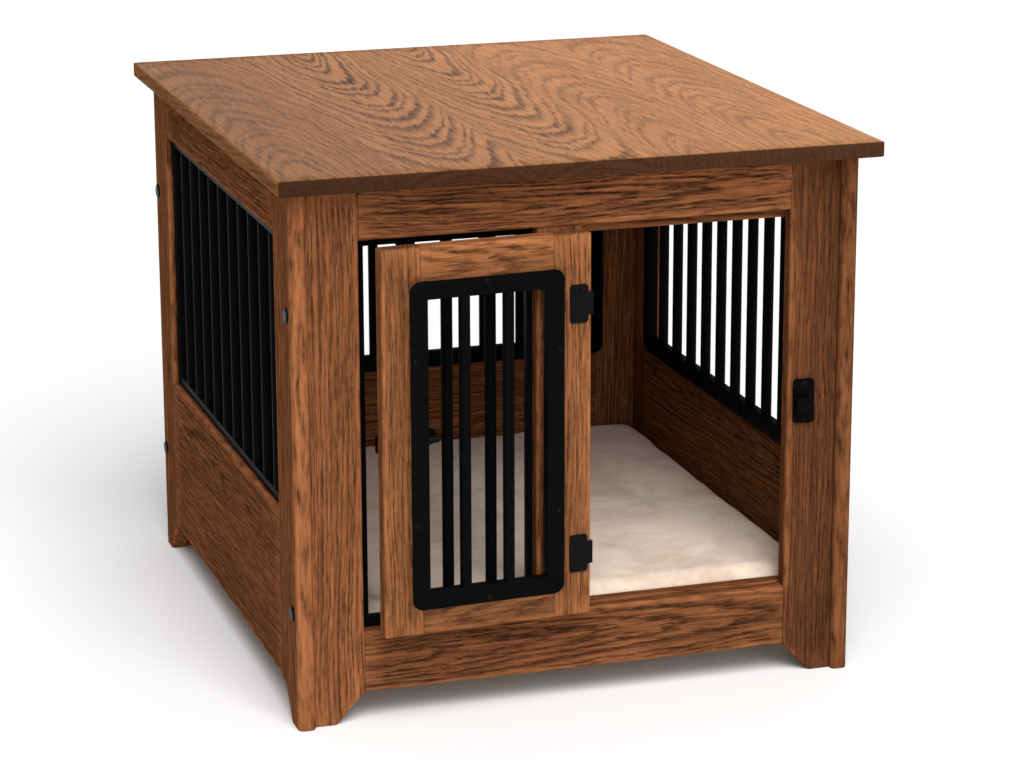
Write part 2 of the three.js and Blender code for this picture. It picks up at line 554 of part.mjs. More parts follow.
part('latch_knob', turned(knobProfile, 20, [knobX, boltY - 8 - CLEARANCE, LATCH_HEIGHT], TOWARD.front),
  blackMetal, door);

// The keeper stands on the right stile's face, in line with the bolt when the door is shut.
const keeperZ = [plateMiddle - KEEPER_HALF_HEIGHT, plateMiddle + KEEPER_HALF_HEIGHT];
const keeperBack = FRONT_FACE - CLEARANCE;
const keeperBlock = join(
  frontBoard(roundedOutline(KEEPER_X[0], KEEPER_X[1], keeperZ[0], keeperZ[1], 4),
    [keeperBack - 4, keeperBack]),
  box([KEEPER_X[0], KEEPER_X[1] - KEEPER_SETBACK], [keeperBack - 14, keeperBack],
    [LATCH_HEIGHT - 10, LATCH_HEIGHT + 10]));
part('latch_keeper', cut(keeperBlock, [
  rod(BOLT_RADIUS + 1.2, 40, 16, [KEEPER_X[0] - 5, FRONT_FACE - LATCH_OUT, LATCH_HEIGHT], ALONG),
]), blackMetal);

door.position.set(HINGE_AXIS_X, axisY, 0);
door.rotation.z = -THREE.MathUtils.degToRad(DOOR_OPEN_ANGLE);

export default crate;
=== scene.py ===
"""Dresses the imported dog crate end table: stained oak boards with eased edges, black rod grilles,
wrap-round hinges, slide latch, screws and a plush cushion, on a pale studio floor.

Metres, +Z up, front at -Y. The frame is loaded first, and every size that the frame holds is read
from it. Pieces of the door are worked out as if it were shut, then swung to where it rests open.
"""

import json
import math

import bpy
import numpy as np
from mathutils import Matrix, Vector


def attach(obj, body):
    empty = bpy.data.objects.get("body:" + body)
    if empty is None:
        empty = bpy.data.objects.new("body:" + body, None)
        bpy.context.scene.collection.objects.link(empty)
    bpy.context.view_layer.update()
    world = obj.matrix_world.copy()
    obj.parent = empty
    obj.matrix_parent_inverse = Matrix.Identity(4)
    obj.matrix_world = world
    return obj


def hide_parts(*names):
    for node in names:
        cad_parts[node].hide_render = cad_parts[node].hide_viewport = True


bl_info = {
    "name": "Dog crate end table",
    "version": (1, 0, 0),
    "blender": (4, 5, 0),
    "location": "3D View > Sidebar > Crate",
    "description": "Makes the finished surfaces of a dog crate end table around its packed frame",
    "category": "Add Mesh",
}

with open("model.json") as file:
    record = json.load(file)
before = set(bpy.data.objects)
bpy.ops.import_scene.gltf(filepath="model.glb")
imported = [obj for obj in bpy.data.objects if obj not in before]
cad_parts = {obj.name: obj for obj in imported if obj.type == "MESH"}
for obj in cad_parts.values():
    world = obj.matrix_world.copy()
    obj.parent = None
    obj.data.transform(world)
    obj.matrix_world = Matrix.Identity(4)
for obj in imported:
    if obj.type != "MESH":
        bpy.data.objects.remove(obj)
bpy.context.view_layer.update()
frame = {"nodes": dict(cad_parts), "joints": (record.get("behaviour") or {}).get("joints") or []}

MM = 0.001
X, Y, Z = 0, 1, 2
DOOR_HINGE = next(joint for joint in frame["joints"] if joint["name"] == "door_hinge")
HINGE_POINT = np.array(DOOR_HINGE["pos_m"])
OPEN_ANGLE = math.radians(DOOR_HINGE["range_deg"][1])
ON_DOOR = ("door_hinge_stile", "door_latch_stile", "door_top_rail", "door_bottom_rail", "door_grille",
           "latch_case")

# Sizes that the frame's boxes don't show.
SIDE_FOOT_WIDTH = 32 * MM  # what is left of a side stile on the floor
SIDE_FOOT_RUN = 30 * MM  # how far its slant runs along the floor
SIDE_FOOT_HEIGHT = 40 * MM
END_FOOT_WIDTH = 25 * MM  # the same for the front and back stiles
END_FOOT_HEIGHT = 34 * MM
BEAD = 6 * MM  # rounding of the side frames' front and back edges
FOOT_END = 1 * MM  # rounding of a stile's two ends
DOOR_EDGE = 2 * MM  # rounding of the door's outer edges
POCKET_GAP = 0.3 * MM
POCKET_PAST = 5 * MM  # how far a pocket's cutter reaches past the wood's face
GRILLE_BORDER = 20 * MM
GRILLE_CORNER = 12 * MM
WINDOW_CORNER = 1 * MM  # inner corners of a grille's border
ROD_RADIUS = 6.35 * MM
ROD_SUNK = 3 * MM
LEAF_THICK = 1.8 * MM  # a hinge leaf and the gap behind it
# Of each grille: the axis through it, which way its screwed face looks along that axis, how many
# rods, from rod to rod, and how far their middle is from the window's.
GRILLES = {
    "left_side_grille": (X, 1, 10, 49.6 * MM, 0.0),
    "right_side_grille": (X, -1, 10, 49.6 * MM, 0.0),
    "back_grille": (Y, -1, 9, 48.7 * MM, 0.0),
    "front_grille": (Y, 1, 3, 48.7 * MM, 1.8 * MM),
    "door_grille": (Y, 1, 2, 49.4 * MM, 0.0),
}


# ---- Settings ----
def colour_property(name, description, default):
    return bpy.props.FloatVectorProperty(
        name=name, description=description, default=default, subtype="COLOR", size=3, min=0, max=1)


def number_property(name, description, default, **limits):
    return bpy.props.FloatProperty(name=name, description=description, default=default, min=0, **limits)


def length_property(name, description, default):
    return number_property(name, description, default, unit="LENGTH", precision=4)


class CrateWoodSettings(bpy.types.PropertyGroup):
    """Colours of the stained oak and how far its edges are rounded over."""
    top_colour: colour_property("Top colour", "Stain on the top's open wood", (0.68, 0.296, 0.122))
    frame_colour: colour_property("Frame colour", "Stain on the frames", (0.25, 0.091, 0.035))
    door_colour: colour_property("Door colour", "Stain on the door", (0.30, 0.114, 0.042))
    grain_colour: colour_property("Grain colour", "Dark lines of the grain", (0.035, 0.014, 0.008))
    edge_radius: length_property("Edge radius", "Round-over of the boards' open edges", 3 * MM)
    top_radius: length_property("Top edge radius", "Round-over of the top's edges", 2 * MM)
    joint_radius: length_property("Joint radius", "Easing of edges that meet another board", 0.6 * MM)


class CrateMetalSettings(bpy.types.PropertyGroup):
    """Finish of the grilles, hinges and latch."""
    colour: colour_property("Metal colour", "Black powder coat", (0.0016, 0.0016, 0.0018))
    edge_radius: length_property("Edge radius", "Easing of the metal's edges", 1.2 * MM)


class CrateCushionSettings(bpy.types.PropertyGroup):
    """Size and colour of the plush cushion."""
    colour: colour_property("Plush colour", "Pile of the cushion", (0.82, 0.665, 0.54))
    crown: number_property("Crown", "Share of the thickness that the middle stands above the edge", 0.06,
                           max=0.5, subtype="FACTOR")
    pull_in: length_property("Pull-in", "How far the sides draw in between the corners", 2 * MM)


class CrateStageSettings(bpy.types.PropertyGroup):
    """Floor and light."""
    floor_colour: colour_property("Floor colour", "Studio floor", (0.92, 0.92, 0.92))
    key_strength: number_property("Key light", "Strength of the broad light above the front", 2.65)
    sky_strength: number_property("Sky", "Strength of the even light from all round", 0.3)


# ---- Meshes ----
def mesh_points(mesh):
    points = np.empty(len(mesh.vertices) * 3)
    mesh.vertices.foreach_get("co", points)
    return points.reshape(-1, 3)


def swing(points, angle):
    """Turns points about the door's hinge axis: the formula is a plane rotation in x and y."""
    x, y = points[..., 0] - HINGE_POINT[0], points[..., 1] - HINGE_POINT[1]
    c, s = math.cos(angle), math.sin(angle)
    return np.stack([HINGE_POINT[0] + c * x - s * y, HINGE_POINT[1] + s * x + c * y, points[..., 2]], -1)


def node_box(name):
    """Lowest and highest corner of a frame node. A door node is measured with the door shut."""
    obj = frame["nodes"][name]
    place = np.array(obj.matrix_world)
    points = mesh_points(obj.data) @ place[:3, :3].T + place[:3, 3]
    if name in ON_DOOR:
        points = swing(points, OPEN_ANGLE)
    return points.min(axis=0), points.max(axis=0)


def outward(points, faces):
    """The faces, turned round if they close a volume below zero: the sum of a . (b x c) over the
    triangles that fan out from the first corner of each face."""
    fans = np.array([(face[0], *pair) for face in faces for pair in zip(face[1:], face[2:])])
    a, b, c = points[fans[:, 0]], points[fans[:, 1]], points[fans[:, 2]]
    return faces if np.sum(a * np.cross(b, c)) > 0 else [face[::-1] for face in faces]


def torus_faces(rows, columns, open_ends=False):
    """Quads between neighbouring rings of a sweep. The last ring meets the first, unless the ends
    are open."""
    i, j = np.meshgrid(np.arange(rows - open_ends), np.arange(columns), indexing="ij")
    k, n = (j + 1) % columns, (i + 1) % rows
    quads = np.stack([i * columns + j, i * columns + k, n * columns + k, n * columns + j], -1)
    return quads.reshape(-1, 4).tolist()


def sweep_faces(rows, columns):
    """The quads of a sweep with open ends, and a flat face over each end."""
    ring = np.arange(columns)
    ends = [ring[::-1].tolist(), (ring + (rows - 1) * columns).tolist()]
    return torus_faces(rows, columns, open_ends=True) + ends


def joined(shells):
    """The points and faces of several closed shells as one mesh, each shell turned outwards."""
    points, faces, first = [], [], 0
    for shell, own in shells:
        faces += [[i + first for i in face] for face in outward(shell, own)]
        points.append(shell)
        first += len(shell)
    return np.vstack(points), faces


def make_object(name, points, faces, sharp=35.0):
    mesh = bpy.data.meshes.new(name)
    mesh.from_pydata(np.asarray(points).tolist(), [], faces)
    mesh.update()
    mesh.shade_smooth()
    mesh.set_sharp_from_angle(angle=math.radians(sharp))
    obj = bpy.data.objects.new(name, mesh)
    bpy.context.scene.collection.objects.link(obj)
    return obj


def finish_piece(obj, body, slot, stands_for=()):
    """Opens the door, if the piece is on it, gives the piece its material, hides the frame nodes that it
    replaces and hangs it on the empty of the body that it rides."""
    if body == "door":
        swung = swing(mesh_points(obj.data), -OPEN_ANGLE)
        obj.data.vertices.foreach_set("co", np.ravel(swung))
        obj.data.update()
    obj.data.materials.clear()
    obj.data.materials.append(materials()[slot])
    if stands_for:
        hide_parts(*stands_for)
    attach(obj, body)


# ---- Boards ----
ARC_STEPS = 4
STATION_PITCH = 25 * MM  # from ring to ring along a board
SHOULDER = 5 * MM  # how far the wear and painted highlight reach from a rounded edge
END_SHOULDER = 0.7 * SHOULDER
SPAN_FADE = 3 * MM  # length over which a round-over runs out at a joint
DOUBLED = 1e-9  # keeps two places that are the same in their order
FULL_WEAR_AND_HIGHLIGHT = 2 * MM  # radius from which an arc is worn and highlighted all over
LEAST_BEAD = 4 * MM  # radius past which the narrow flat beside an arc is worn and highlighted too: painted highlight on a lit bead


def span_mask(s, low, high):
    """1 from low to high and 0 outside, with a ramp of SPAN_FADE past each end."""
    return np.clip((s - low) / SPAN_FADE + 1, 0, 1) * np.clip((high - s) / SPAN_FADE + 1, 0, 1)


def stations(low, high, marks, end_radius):
    """Places along a board, and the inset and the wear and painted highlight at each. Both ends are
    rounded: the way along is radius (1 - cos t) and the inset radius (1 - sin t)."""
    t = np.linspace(0, math.pi / 2, ARC_STEPS + 1)
    way, inset = end_radius * (1 - np.cos(t)), end_radius * (1 - np.sin(t))
    count = max(3, int((high - low) / STATION_PITCH))
    inner = np.linspace(low + end_radius, high - end_radius, count)[1:-1]
    marks = [mark for mark in marks if low + end_radius < mark < high - end_radius]
    inner = np.sort(np.concatenate([inner, marks]))
    none, all_of_it, cap = np.zeros(len(inner)), np.ones(len(way)), [end_radius + END_SHOULDER]
    s = np.concatenate([[low], low + way, inner, high - way[::-1], [high]])
    insets = np.concatenate([cap, inset, none, inset[::-1], cap])
    return s, insets, np.concatenate([[0], all_of_it, none, all_of_it, [0]])


def section_rings(a_low, a_high, b_low, b_high, radius, inset):
    """Rings of a rounded rectangle that changes along the board.

    Corner k of ring i is centre + r (cos t, sin t), t over a quarter turn, with one point more on
    the flat before it and one after it. Returns a and b of each point, and its wear and painted
    highlight: 1 on arcs and on the narrow flat of a bead, 0 on other flats.
    """
    a_low, a_high = a_low + inset, a_high - inset
    b_low, b_high = b_low + inset, b_high - inset
    span = np.minimum(a_high - a_low, b_high - b_low)
    a, b, wear_and_highlight = [], [], []
    for k, (a_sign, b_sign) in enumerate([(1, 1), (-1, 1), (-1, -1), (1, -1)]):
        r = np.clip(radius[:, k] - inset, 0.02 * MM, 0.45 * span)
        a_centre = np.where(a_sign > 0, a_high, a_low) - a_sign * r
        b_centre = np.where(b_sign > 0, b_high, b_low) - b_sign * r
        arc = np.linspace(k * math.pi / 2, (k + 1) * math.pi / 2, ARC_STEPS + 1)
        t = np.concatenate([arc[:1], arc, arc[-1:]])
        onward = np.outer(np.minimum(SHOULDER, 0.3 * (span - 2 * r)), [-1, *0 * arc, 1])
        a.append(a_centre[:, None] + r[:, None] * np.cos(t) - onward * np.sin(t))
        b.append(b_centre[:, None] + r[:, None] * np.sin(t) + onward * np.cos(t))
        # Painted highlight: the narrow flat beside a wide bead is lightened with its arcs.
        flats = [np.clip((radius[:, k] - LEAST_BEAD) / MM, 0, 1), 0 * r]
        before, after = flats if k % 2 == 0 else flats[::-1]
        exposed = np.clip(radius[:, k] / FULL_WEAR_AND_HIGHLIGHT, 0, 1)
        wear_and_highlight.append(np.stack([before, *[exposed] * len(arc), after], -1))
    return np.hstack(a), np.hstack(b), np.hstack(wear_and_highlight)


def board_mesh(low, high, along, across, edges, end_radius, foot=None):
    """Points, faces, and wear and painted highlight of one board.

    edges holds, for the across-low and across-high edge, a list of (start, stop, radius); a joint
    radius applies elsewhere. foot gives the side (-1 or 1) of the sloping edge, and its places
    along the board with the board's width at each.
    """
    through = 3 - along - across
    marks = [mark for spans in edges for start, stop, _ in spans
             for mark in (start - SPAN_FADE, start, stop, stop + SPAN_FADE)]
    if foot:
        marks += foot["at"]
    s, inset, end_wear_and_highlight = stations(low[along], high[along], marks, end_radius)
    a_low, a_high = np.full_like(s, low[across]), np.full_like(s, high[across])
    if foot:
        at = np.array(foot["at"]) + np.arange(len(foot["at"])) * DOUBLED
        width = np.interp(s + np.arange(len(s)) * DOUBLED, at, foot["width"])
        if foot["side"] > 0:
            a_high = low[across] + width
        else:
            a_low = high[across] - width
    radius = np.full((len(s), 4), bpy.context.scene.crate_wood.joint_radius)
    for spans, corners in zip(edges, ([1, 2], [0, 3])):
        for start, stop, r in spans:
            mask = span_mask(s, start, stop)[:, None]
            radius[:, corners] = np.maximum(radius[:, corners], r * mask)
    a, b, wear_and_highlight = section_rings(a_low, a_high, low[through], high[through], radius, inset)
    points = np.empty(a.shape + (3,))
    points[..., along] = s[:, None]
    points[..., across] = a
    points[..., through] = b
    wear_and_highlight = np.maximum(wear_and_highlight, end_wear_and_highlight[:, None])
    wear_and_highlight[0] = wear_and_highlight[-1] = 0
    points = points.reshape(-1, 3)
    return points, outward(points, sweep_faces(*a.shape)), wear_and_highlight.ravel()


def rounded_outline(low, high, radius, steps=8):
    """Points round a rectangle in its own plane: at each corner centre + radius (cos t, sin t), t
    over a quarter turn."""
    points = []
    for k, is_high in enumerate([(True, True), (False, True), (False, False), (True, False)]):
        centre = np.where(is_high, high - radius, low + radius)
        t = np.linspace(k * math.pi / 2, (k + 1) * math.pi / 2, steps + 1)
        points.append(centre + radius * np.stack([np.cos(t), np.sin(t)], -1))
    return np.vstack(points)


def pocket_cutter(grille):
    """A closed block over a grille's border: what is cut out of the boards that it is let into."""
    through, side = GRILLES[grille][:2]
    low, high = node_box(grille)
    axes = [axis for axis in (X, Y, Z) if axis != through]
    outline = rounded_outline(low[axes] - POCKET_GAP, high[axes] + POCKET_GAP, GRILLE_CORNER + POCKET_GAP)
    past = (-POCKET_GAP, POCKET_PAST) if side > 0 else (-POCKET_PAST, POCKET_GAP)
    points = np.empty((2, len(outline), 3))
    points[..., axes] = outline
    points[..., through] = np.array([[low[through] + past[0]], [high[through] + past[1]]])
    points = points.reshape(-1, 3)
    return make_object("pocket", points, outward(points, sweep_faces(2, len(outline))))


def carve(obj, cutter, wear_and_highlight):
    """Cuts the cutter out of obj and gives the wear and painted highlight of the points that are left:
    that of the old point in the same place, or 0 where the cut made a new one."""
    old = mesh_points(obj.data)
    modifier = obj.modifiers.new("pocket", "BOOLEAN")
    modifier.operation = "DIFFERENCE"
    modifier.solver = "EXACT"
    modifier.object = cutter
    carved = bpy.data.meshes.new_from_object(obj.evaluated_get(bpy.context.evaluated_depsgraph_get()))
    obj.modifiers.clear()
    obj.data = carved
    gaps = np.linalg.norm(mesh_points(carved)[:, None] - old, axis=2)
    return np.where(gaps.min(axis=1) < 0.01 * MM, wear_and_highlight[gaps.argmin(axis=1)], 0)


def add_grain(obj, wear_and_highlight, along, across, box, number, heart, tone_and_shade, shaded_rim, end_radius):
    """Stores what the oak reads at each point: where it lies in its own plank, which plank it is,
    how far to the side its heart is, how much lighter or darker the board is made, how worn and
    highlighted it is, and how dark its ends are as end grain and, on long edges, as painted shade.

    The lightening or darkening is one value, or one for each long edge with an even change between
    them; it is partly the board's own tone and partly painted light and shade. The rim value is how
    much the long edges are darkened like end grain: painted shade.
    """
    low, high = box
    size = high - low
    local = mesh_points(obj.data) - (low + high) / 2
    share = local[:, across] / size[across] + 0.5
    end = np.clip(1.3 + (np.abs(local[:, along]) - size[along] / 2) / end_radius, 0, 1)
    # Painted shade: the long edges are darkened like end grain.
    if shaded_rim:
        rim = (np.abs(local[:, across]) - size[across] / 2) / end_radius
        end = np.maximum(end, shaded_rim * np.clip(1.3 + rim, 0, 1))
    stored = {"grain": local[:, [along, across, 3 - along - across]], "plank": float(number),
              "heart": heart, "tone_and_shade": np.interp(share, [0, 1], np.broadcast_to(tone_and_shade, 2)),
              "wear_and_highlight": wear_and_highlight, "end": end}
    for name, values in stored.items():
        is_vector = name == "grain"
        layer = obj.data.attributes.new(name, "FLOAT_VECTOR" if is_vector else "FLOAT", "POINT")
        values = np.broadcast_to(values, local.shape if is_vector else len(local))
        layer.data.foreach_set("vector" if is_vector else "value", np.ravel(values))


# ---- Shader helpers ----
def math_node(operation, turned=False):
    """A method that adds a Math node; turned is for a Value on the right of the sign."""
    def method(self, other):
        return self.wiring.math(operation, *((other, self) if turned else (self, other)))
    return method


class Value:
    """An output socket on which + - * / add Math nodes."""

    def __init__(self, wiring, socket):
        self.wiring, self.socket = wiring, socket

    __add__, __radd__ = math_node("ADD"), math_node("ADD", True)
    __sub__, __rsub__ = math_node("SUBTRACT"), math_node("SUBTRACT", True)
    __mul__, __truediv__ = math_node("MULTIPLY"), math_node("DIVIDE")


class Wiring:
    """Adds nodes to one shader tree and links them."""

    def __init__(self, tree):
        self.tree = tree

    def add(self, kind, inputs=None, output=None, **settings):
        """A new node with its inputs fed; gives the node, or the Value of one of its outputs."""
        node = self.tree.nodes.new(kind)
        for name, value in settings.items():
            setattr(node, name, value)
        self.feed(node, inputs or {})
        return node if output is None else Value(self, node.outputs[output])

    def feed(self, node, inputs):
        """Links a Value to the socket of each key, and writes anything else into it."""
        for key, value in inputs.items():
            if isinstance(value, Value):
                self.tree.links.new(value.socket, node.inputs[key])
            else:
                node.inputs[key].default_value = value

    def math(self, operation, *values, clamp=False):
        return self.add("ShaderNodeMath", dict(enumerate(values)), 0, operation=operation, use_clamp=clamp)

    def vector(self, operation, *values):
        return self.add("ShaderNodeVectorMath", dict(enumerate(values)), 0, operation=operation)

    def split(self, vector):
        node = self.add("ShaderNodeSeparateXYZ", {0: vector})
        return [Value(self, socket) for socket in node.outputs]

    def noise(self, place, scale, detail=3.0, roughness=0.55, distortion=0.0):
        """Noise from 0 to 1. scale is one number, or one along and one across the grain."""
        if isinstance(scale, tuple):
            place, scale = self.vector("MULTIPLY", place, (scale[0], scale[1], scale[1])), 1.0
        return self.add("ShaderNodeTexNoise", {"Vector": place, "Scale": scale, "Detail": detail,
                                               "Roughness": roughness, "Distortion": distortion}, 0)

    def smooth(self, value, low, high):
        """0 below low, 1 above high, with a smooth step between them."""
        return self.add("ShaderNodeMapRange", {"Value": value, "From Min": low, "From Max": high}, 0,
                        interpolation_type="SMOOTHSTEP")

    def mix(self, factor, a, b):
        return self.add("ShaderNodeMix", {0: factor, 6: a, 7: b}, 2, data_type="RGBA")

    def bump(self, height, strength, distance):
        return self.add("ShaderNodeBump", {"Height": height, "Strength": strength, "Distance": distance}, 0)


def tint(base, factor=1.0):
    """A colour made lighter or darker, with alpha."""
    return (*(min(1.0, value * factor) for value in base), 1.0)


def new_material(name):
    material = bpy.data.materials.new(name)
    material.use_nodes = True
    return material, Wiring(material.node_tree), material.node_tree.nodes["Principled BSDF"]


def group_with(name, inputs, outputs):
    """An empty shader node group; inputs holds each socket's default, or None for a vector."""
    group = bpy.data.node_groups.new(name, "ShaderNodeTree")
    for label, default in inputs.items():
        kind = "NodeSocketVector" if default is None else "NodeSocketFloat"
        socket = group.interface.new_socket(label, in_out="INPUT", socket_type=kind)
        if default is not None:
            socket.default_value = default
    for label in outputs:
        group.interface.new_socket(label, in_out="OUTPUT", socket_type="NodeSocketFloat")
    w = Wiring(group)
    node = w.add("NodeGroupInput")
    return group, w, {label: Value(w, node.outputs[label]) for label in inputs}


# ---- Wood ----
# Noises of the oak: changes per metre along and across the grain, detail and roughness.
BEND = (3.0, 8.0), 1.0
WAVE = (9.0, 26.0), 2.0
RAGGED = (32.0, 420.0), 4.0, 0.62
STREAK = (9.0, 210.0), 5.0, 0.7
FINE = (75.0, 950.0), 2.0, 0.5
SLOW = (2.5, 16.0), 3.0
FLECK = (20.0, 270.0), 3.0
RUB = (30.0, 120.0), 3.0


def oak_figure_group():
    """Growth rings cut by a flat board: arched bands, streaks, pores and slow changes of tone.

    A ring is where the distance from a line below the board, tilted by the taper, reaches a whole
    number of ring widths. Noise bends the line, waves the rings and roughens them along the grain.
    """
    group, w, given = group_with(
        "Oak figure",
        {"Grain": None, "Plank": 0.0, "Heart": 0.0, "Plank width": 0.2, "Ring width": 0.004,
         "Taper": 0.08, "Depth": 0.03, "Side shift": 0.6, "Contrast": 0.6, "Boldest plank": 0.0,
         "Fade": 0.0},
        ("Bands", "Streaks", "Pores", "Tone"))
    along, across, through = w.split(given["Grain"])
    strip = w.math("FLOOR", across / given["Plank width"] + 0.5)
    inside = across - strip * given["Plank width"]
    key = w.add("ShaderNodeCombineXYZ", {0: strip, 1: given["Plank"], 2: 0.37}, 0)
    chance = w.add("ShaderNodeTexWhiteNoise", {"Vector": key}, noise_dimensions="3D")
    chances = Value(w, chance.outputs["Color"])
    luck = w.split(chances)
    place = w.vector("ADD", given["Grain"], w.vector("MULTIPLY", chances, (7.0, 7.0, 7.0)))

    middle = (luck[0] - 0.5) * (given["Plank width"] * given["Side shift"]) + given["Heart"]
    sideways = inside - middle + (w.noise(place, *BEND) - 0.5) * 0.035
    way = w.math("GREATER_THAN", luck[1], 0.3) * 2.0 - 1.0
    tilt = along * given["Taper"] * way
    down = through + (given["Depth"] + luck[2] * 0.02) + tilt
    distance = w.math("SQRT", sideways * sideways + down * down) + (
        (w.noise(place, *WAVE) - 0.5) * 0.009 + (w.noise(place, *RAGGED) - 0.5) * 0.0072)
    spread = w.noise(w.add("ShaderNodeCombineXYZ", {0: distance * 55.0}, 0), 1.0, 1.0)
    part = w.math("FRACT", distance / given["Ring width"] + spread * 3.0)
    band = w.smooth(part, 0.0, 0.14) * (1.0 - w.smooth(part, 0.18, 0.7))

    slow = w.noise(place, *SLOW)
    tone = (slow - 0.5 + (w.noise(place, *FLECK) - 0.5) * 1.9
            + (Value(w, chance.outputs["Value"]) - 0.5) * 0.55)
    near_heart = 1.0 - w.smooth(w.math("ABSOLUTE", sideways), 0.008, 0.045)
    bold = near_heart * 0.5 + w.smooth(slow, 0.4, 0.62) * 0.5
    away = w.smooth(w.math("ABSOLUTE", strip - given["Boldest plank"]), 0.4, 1.55)
    strength = (1.0 - given["Contrast"] + bold * given["Contrast"]) * (1.0 - away * given["Fade"])
    streaks = w.smooth(w.noise(place, *STREAK), 0.42, 0.66)
    broken = band * (streaks * 0.75 + 0.6)
    pores = w.smooth(w.noise(place, *FINE) + band * 0.22, 0.6, 0.76)
    w.add("NodeGroupOutput", {"Bands": w.math("MULTIPLY", broken, strength, clamp=True),
                              "Streaks": streaks, "Pores": pores, "Tone": tone})
    return group


def worn_and_lit_edge_group():
    """How much lighter an arris is made, as wear and painted highlight: the stored mask, broken up by noise.
    """
    group, w, given = group_with("Worn edge", {"Grain": None, "Worn": 0.0}, ("Mask",))
    rub = w.smooth(w.noise(given["Grain"], *RUB), 0.3, 0.62)
    w.add("NodeGroupOutput", {"Mask": given["Worn"] * rub})
    return group


def oak_material(name, groups, base, dark, figure):
    """Stained oak under a satin varnish. figure holds the group's inputs, which have a capital, and
    the strengths with which its parts are mixed in."""
    material, w, shader = new_material(name)
    grain = w.add("ShaderNodeAttribute", None, "Vector", attribute_name="grain")
    stored = {key: w.add("ShaderNodeAttribute", None, "Fac", attribute_name=key)
              for key in ("plank", "heart", "tone_and_shade", "wear_and_highlight", "end")}
    node = w.add("ShaderNodeGroup", node_tree=groups["figure"])
    w.feed(node, {"Grain": grain, "Plank": stored["plank"], "Heart": stored["heart"],
                  **{key: value for key, value in figure.items() if key[0].isupper()}})
    bands, streaks, pores, tone = (Value(w, socket) for socket in node.outputs)
    mask = w.add("ShaderNodeGroup", {"Grain": grain, "Worn": stored["wear_and_highlight"]}, 0, node_tree=groups["edge"])

    shade = w.math("ADD", 0.5, tone * figure["tone"], clamp=True)
    body = w.mix(shade, tint(base, 0.48), tint(base, 1.3))
    # Each board is scaled lighter or darker by its stored value: partly its own tone, partly painted light
    # and shade.
    tone_and_shade_scale = stored["tone_and_shade"] * 0.9 + 1.0
    body = w.add("ShaderNodeVectorMath", {0: body, 3: tone_and_shade_scale}, 0, operation="SCALE")
    body = w.mix(streaks * figure["streaks"], body, tint(dark))
    body = w.mix(bands * figure["bands"], body, tint(dark))
    body = w.mix(pores * figure["pores"], body, tint(dark, 0.45))
    # Wear and painted highlight: arrises are lightened, less on boards that are made darker.
    wear = w.math("ADD", stored["tone_and_shade"], 1.0, clamp=True) * figure["wear"]
    body = w.mix(mask * wear, body, tint(base, 1.7))
    # Ends are darkened as end grain; on the top's long edges this darkening is painted shade.
    body = w.mix(stored["end"] * figure["ends"], body, tint(dark, 0.75))
    face = w.math("SUBTRACT", 1.0, stored["end"] * 3.0, clamp=True)
    w.feed(shader, {
        "Base Color": body,
        "Roughness": (pores + bands) * 0.12 + figure["roughness"],
        "Normal": w.bump(pores * -0.6 + bands * -0.3, 0.4, 0.6 * MM),
        "Coat Weight": face * figure["varnish"],
        "Coat Roughness": figure["roughness"],
        "Specular IOR Level": 0.0,
    })
    return material


TOP_FIGURE = {"Plank width": 0.135, "Ring width": 0.0066, "Taper": 0.13, "Depth": 0.048, "Side shift": 0.5,
              "Contrast": 0.7, "Boldest plank": -0.6, "Fade": 0.8, "tone": 0.5, "streaks": 0.22,
              "bands": 0.9, "pores": 0.4, "wear": 0.12, "ends": 0.94, "roughness": 0.36, "varnish": 0.7}
FRAME_FIGURE = {"Plank width": 0.4, "Ring width": 0.0046, "Taper": 0.042, "Depth": 0.016,
                "Side shift": 0.05, "Contrast": 0.5, "tone": 1.1, "streaks": 0.55, "bands": 0.98,
                "pores": 0.6, "wear": 0.5, "ends": 0.6, "roughness": 0.5, "varnish": 0.0}
DOOR_FIGURE = {**FRAME_FIGURE, "Taper": 0.06, "Contrast": 0.45, "tone": 1.0, "streaks": 0.45,
               "bands": 0.8, "wear": 0.35, "ends": 0.35, "roughness": 0.48, "varnish": 0.02}


# ---- Other materials ----
def black_material(name, base, roughness, speckle, shine):
    """Black powder coat: fine orange-peel bumps and slightly greyer high spots."""
    material, w, shader = new_material(name)
    place = w.add("ShaderNodeTexCoord", None, "Object")
    cloud = w.noise(place, 35.0)
    w.feed(shader, {
        "Base Color": w.mix(cloud, tint(base), tint(base, 1.9)),
        "Roughness": cloud * 0.14 + roughness,
        "Normal": w.bump(w.noise(place, 900.0, 2.0), speckle, 0.2 * MM),
        "Specular IOR Level": shine,
    })
    return material


def plush_material(name, base):
    """Short brushed pile: painted shade in patches where the pile leans different ways, fine fibres and a
    soft sheen.
    """
    material, w, shader = new_material(name)
    place = w.add("ShaderNodeTexCoord", None, "Object")
    brushed = w.noise(place, (8.0, 10.0), 4.0, 0.6, 0.8)
    tufts = w.noise(place, (60.0, 75.0), 4.0, 0.65, 0.5)
    fibre = w.noise(place, (500.0, 1100.0))
    shade = brushed * 0.62 + (tufts * 0.2 + fibre * 0.18)
    # Painted shade: the darker colour that patches of the pile are mixed towards.
    pile_shade = tint([value * share for value, share in zip(base, (0.7, 0.64, 0.6))])
    w.feed(shader, {
        "Base Color": w.mix(w.smooth(shade, 0.34, 0.6), pile_shade, tint(base)),
        "Normal": w.bump(fibre * 0.4 + (tufts * 0.8 + brushed * 0.8), 0.5, 3 * MM),
        "Roughness": 0.95,
        "Sheen Weight": 0.4,
        "Sheen Roughness": 0.5,
    })
    return material


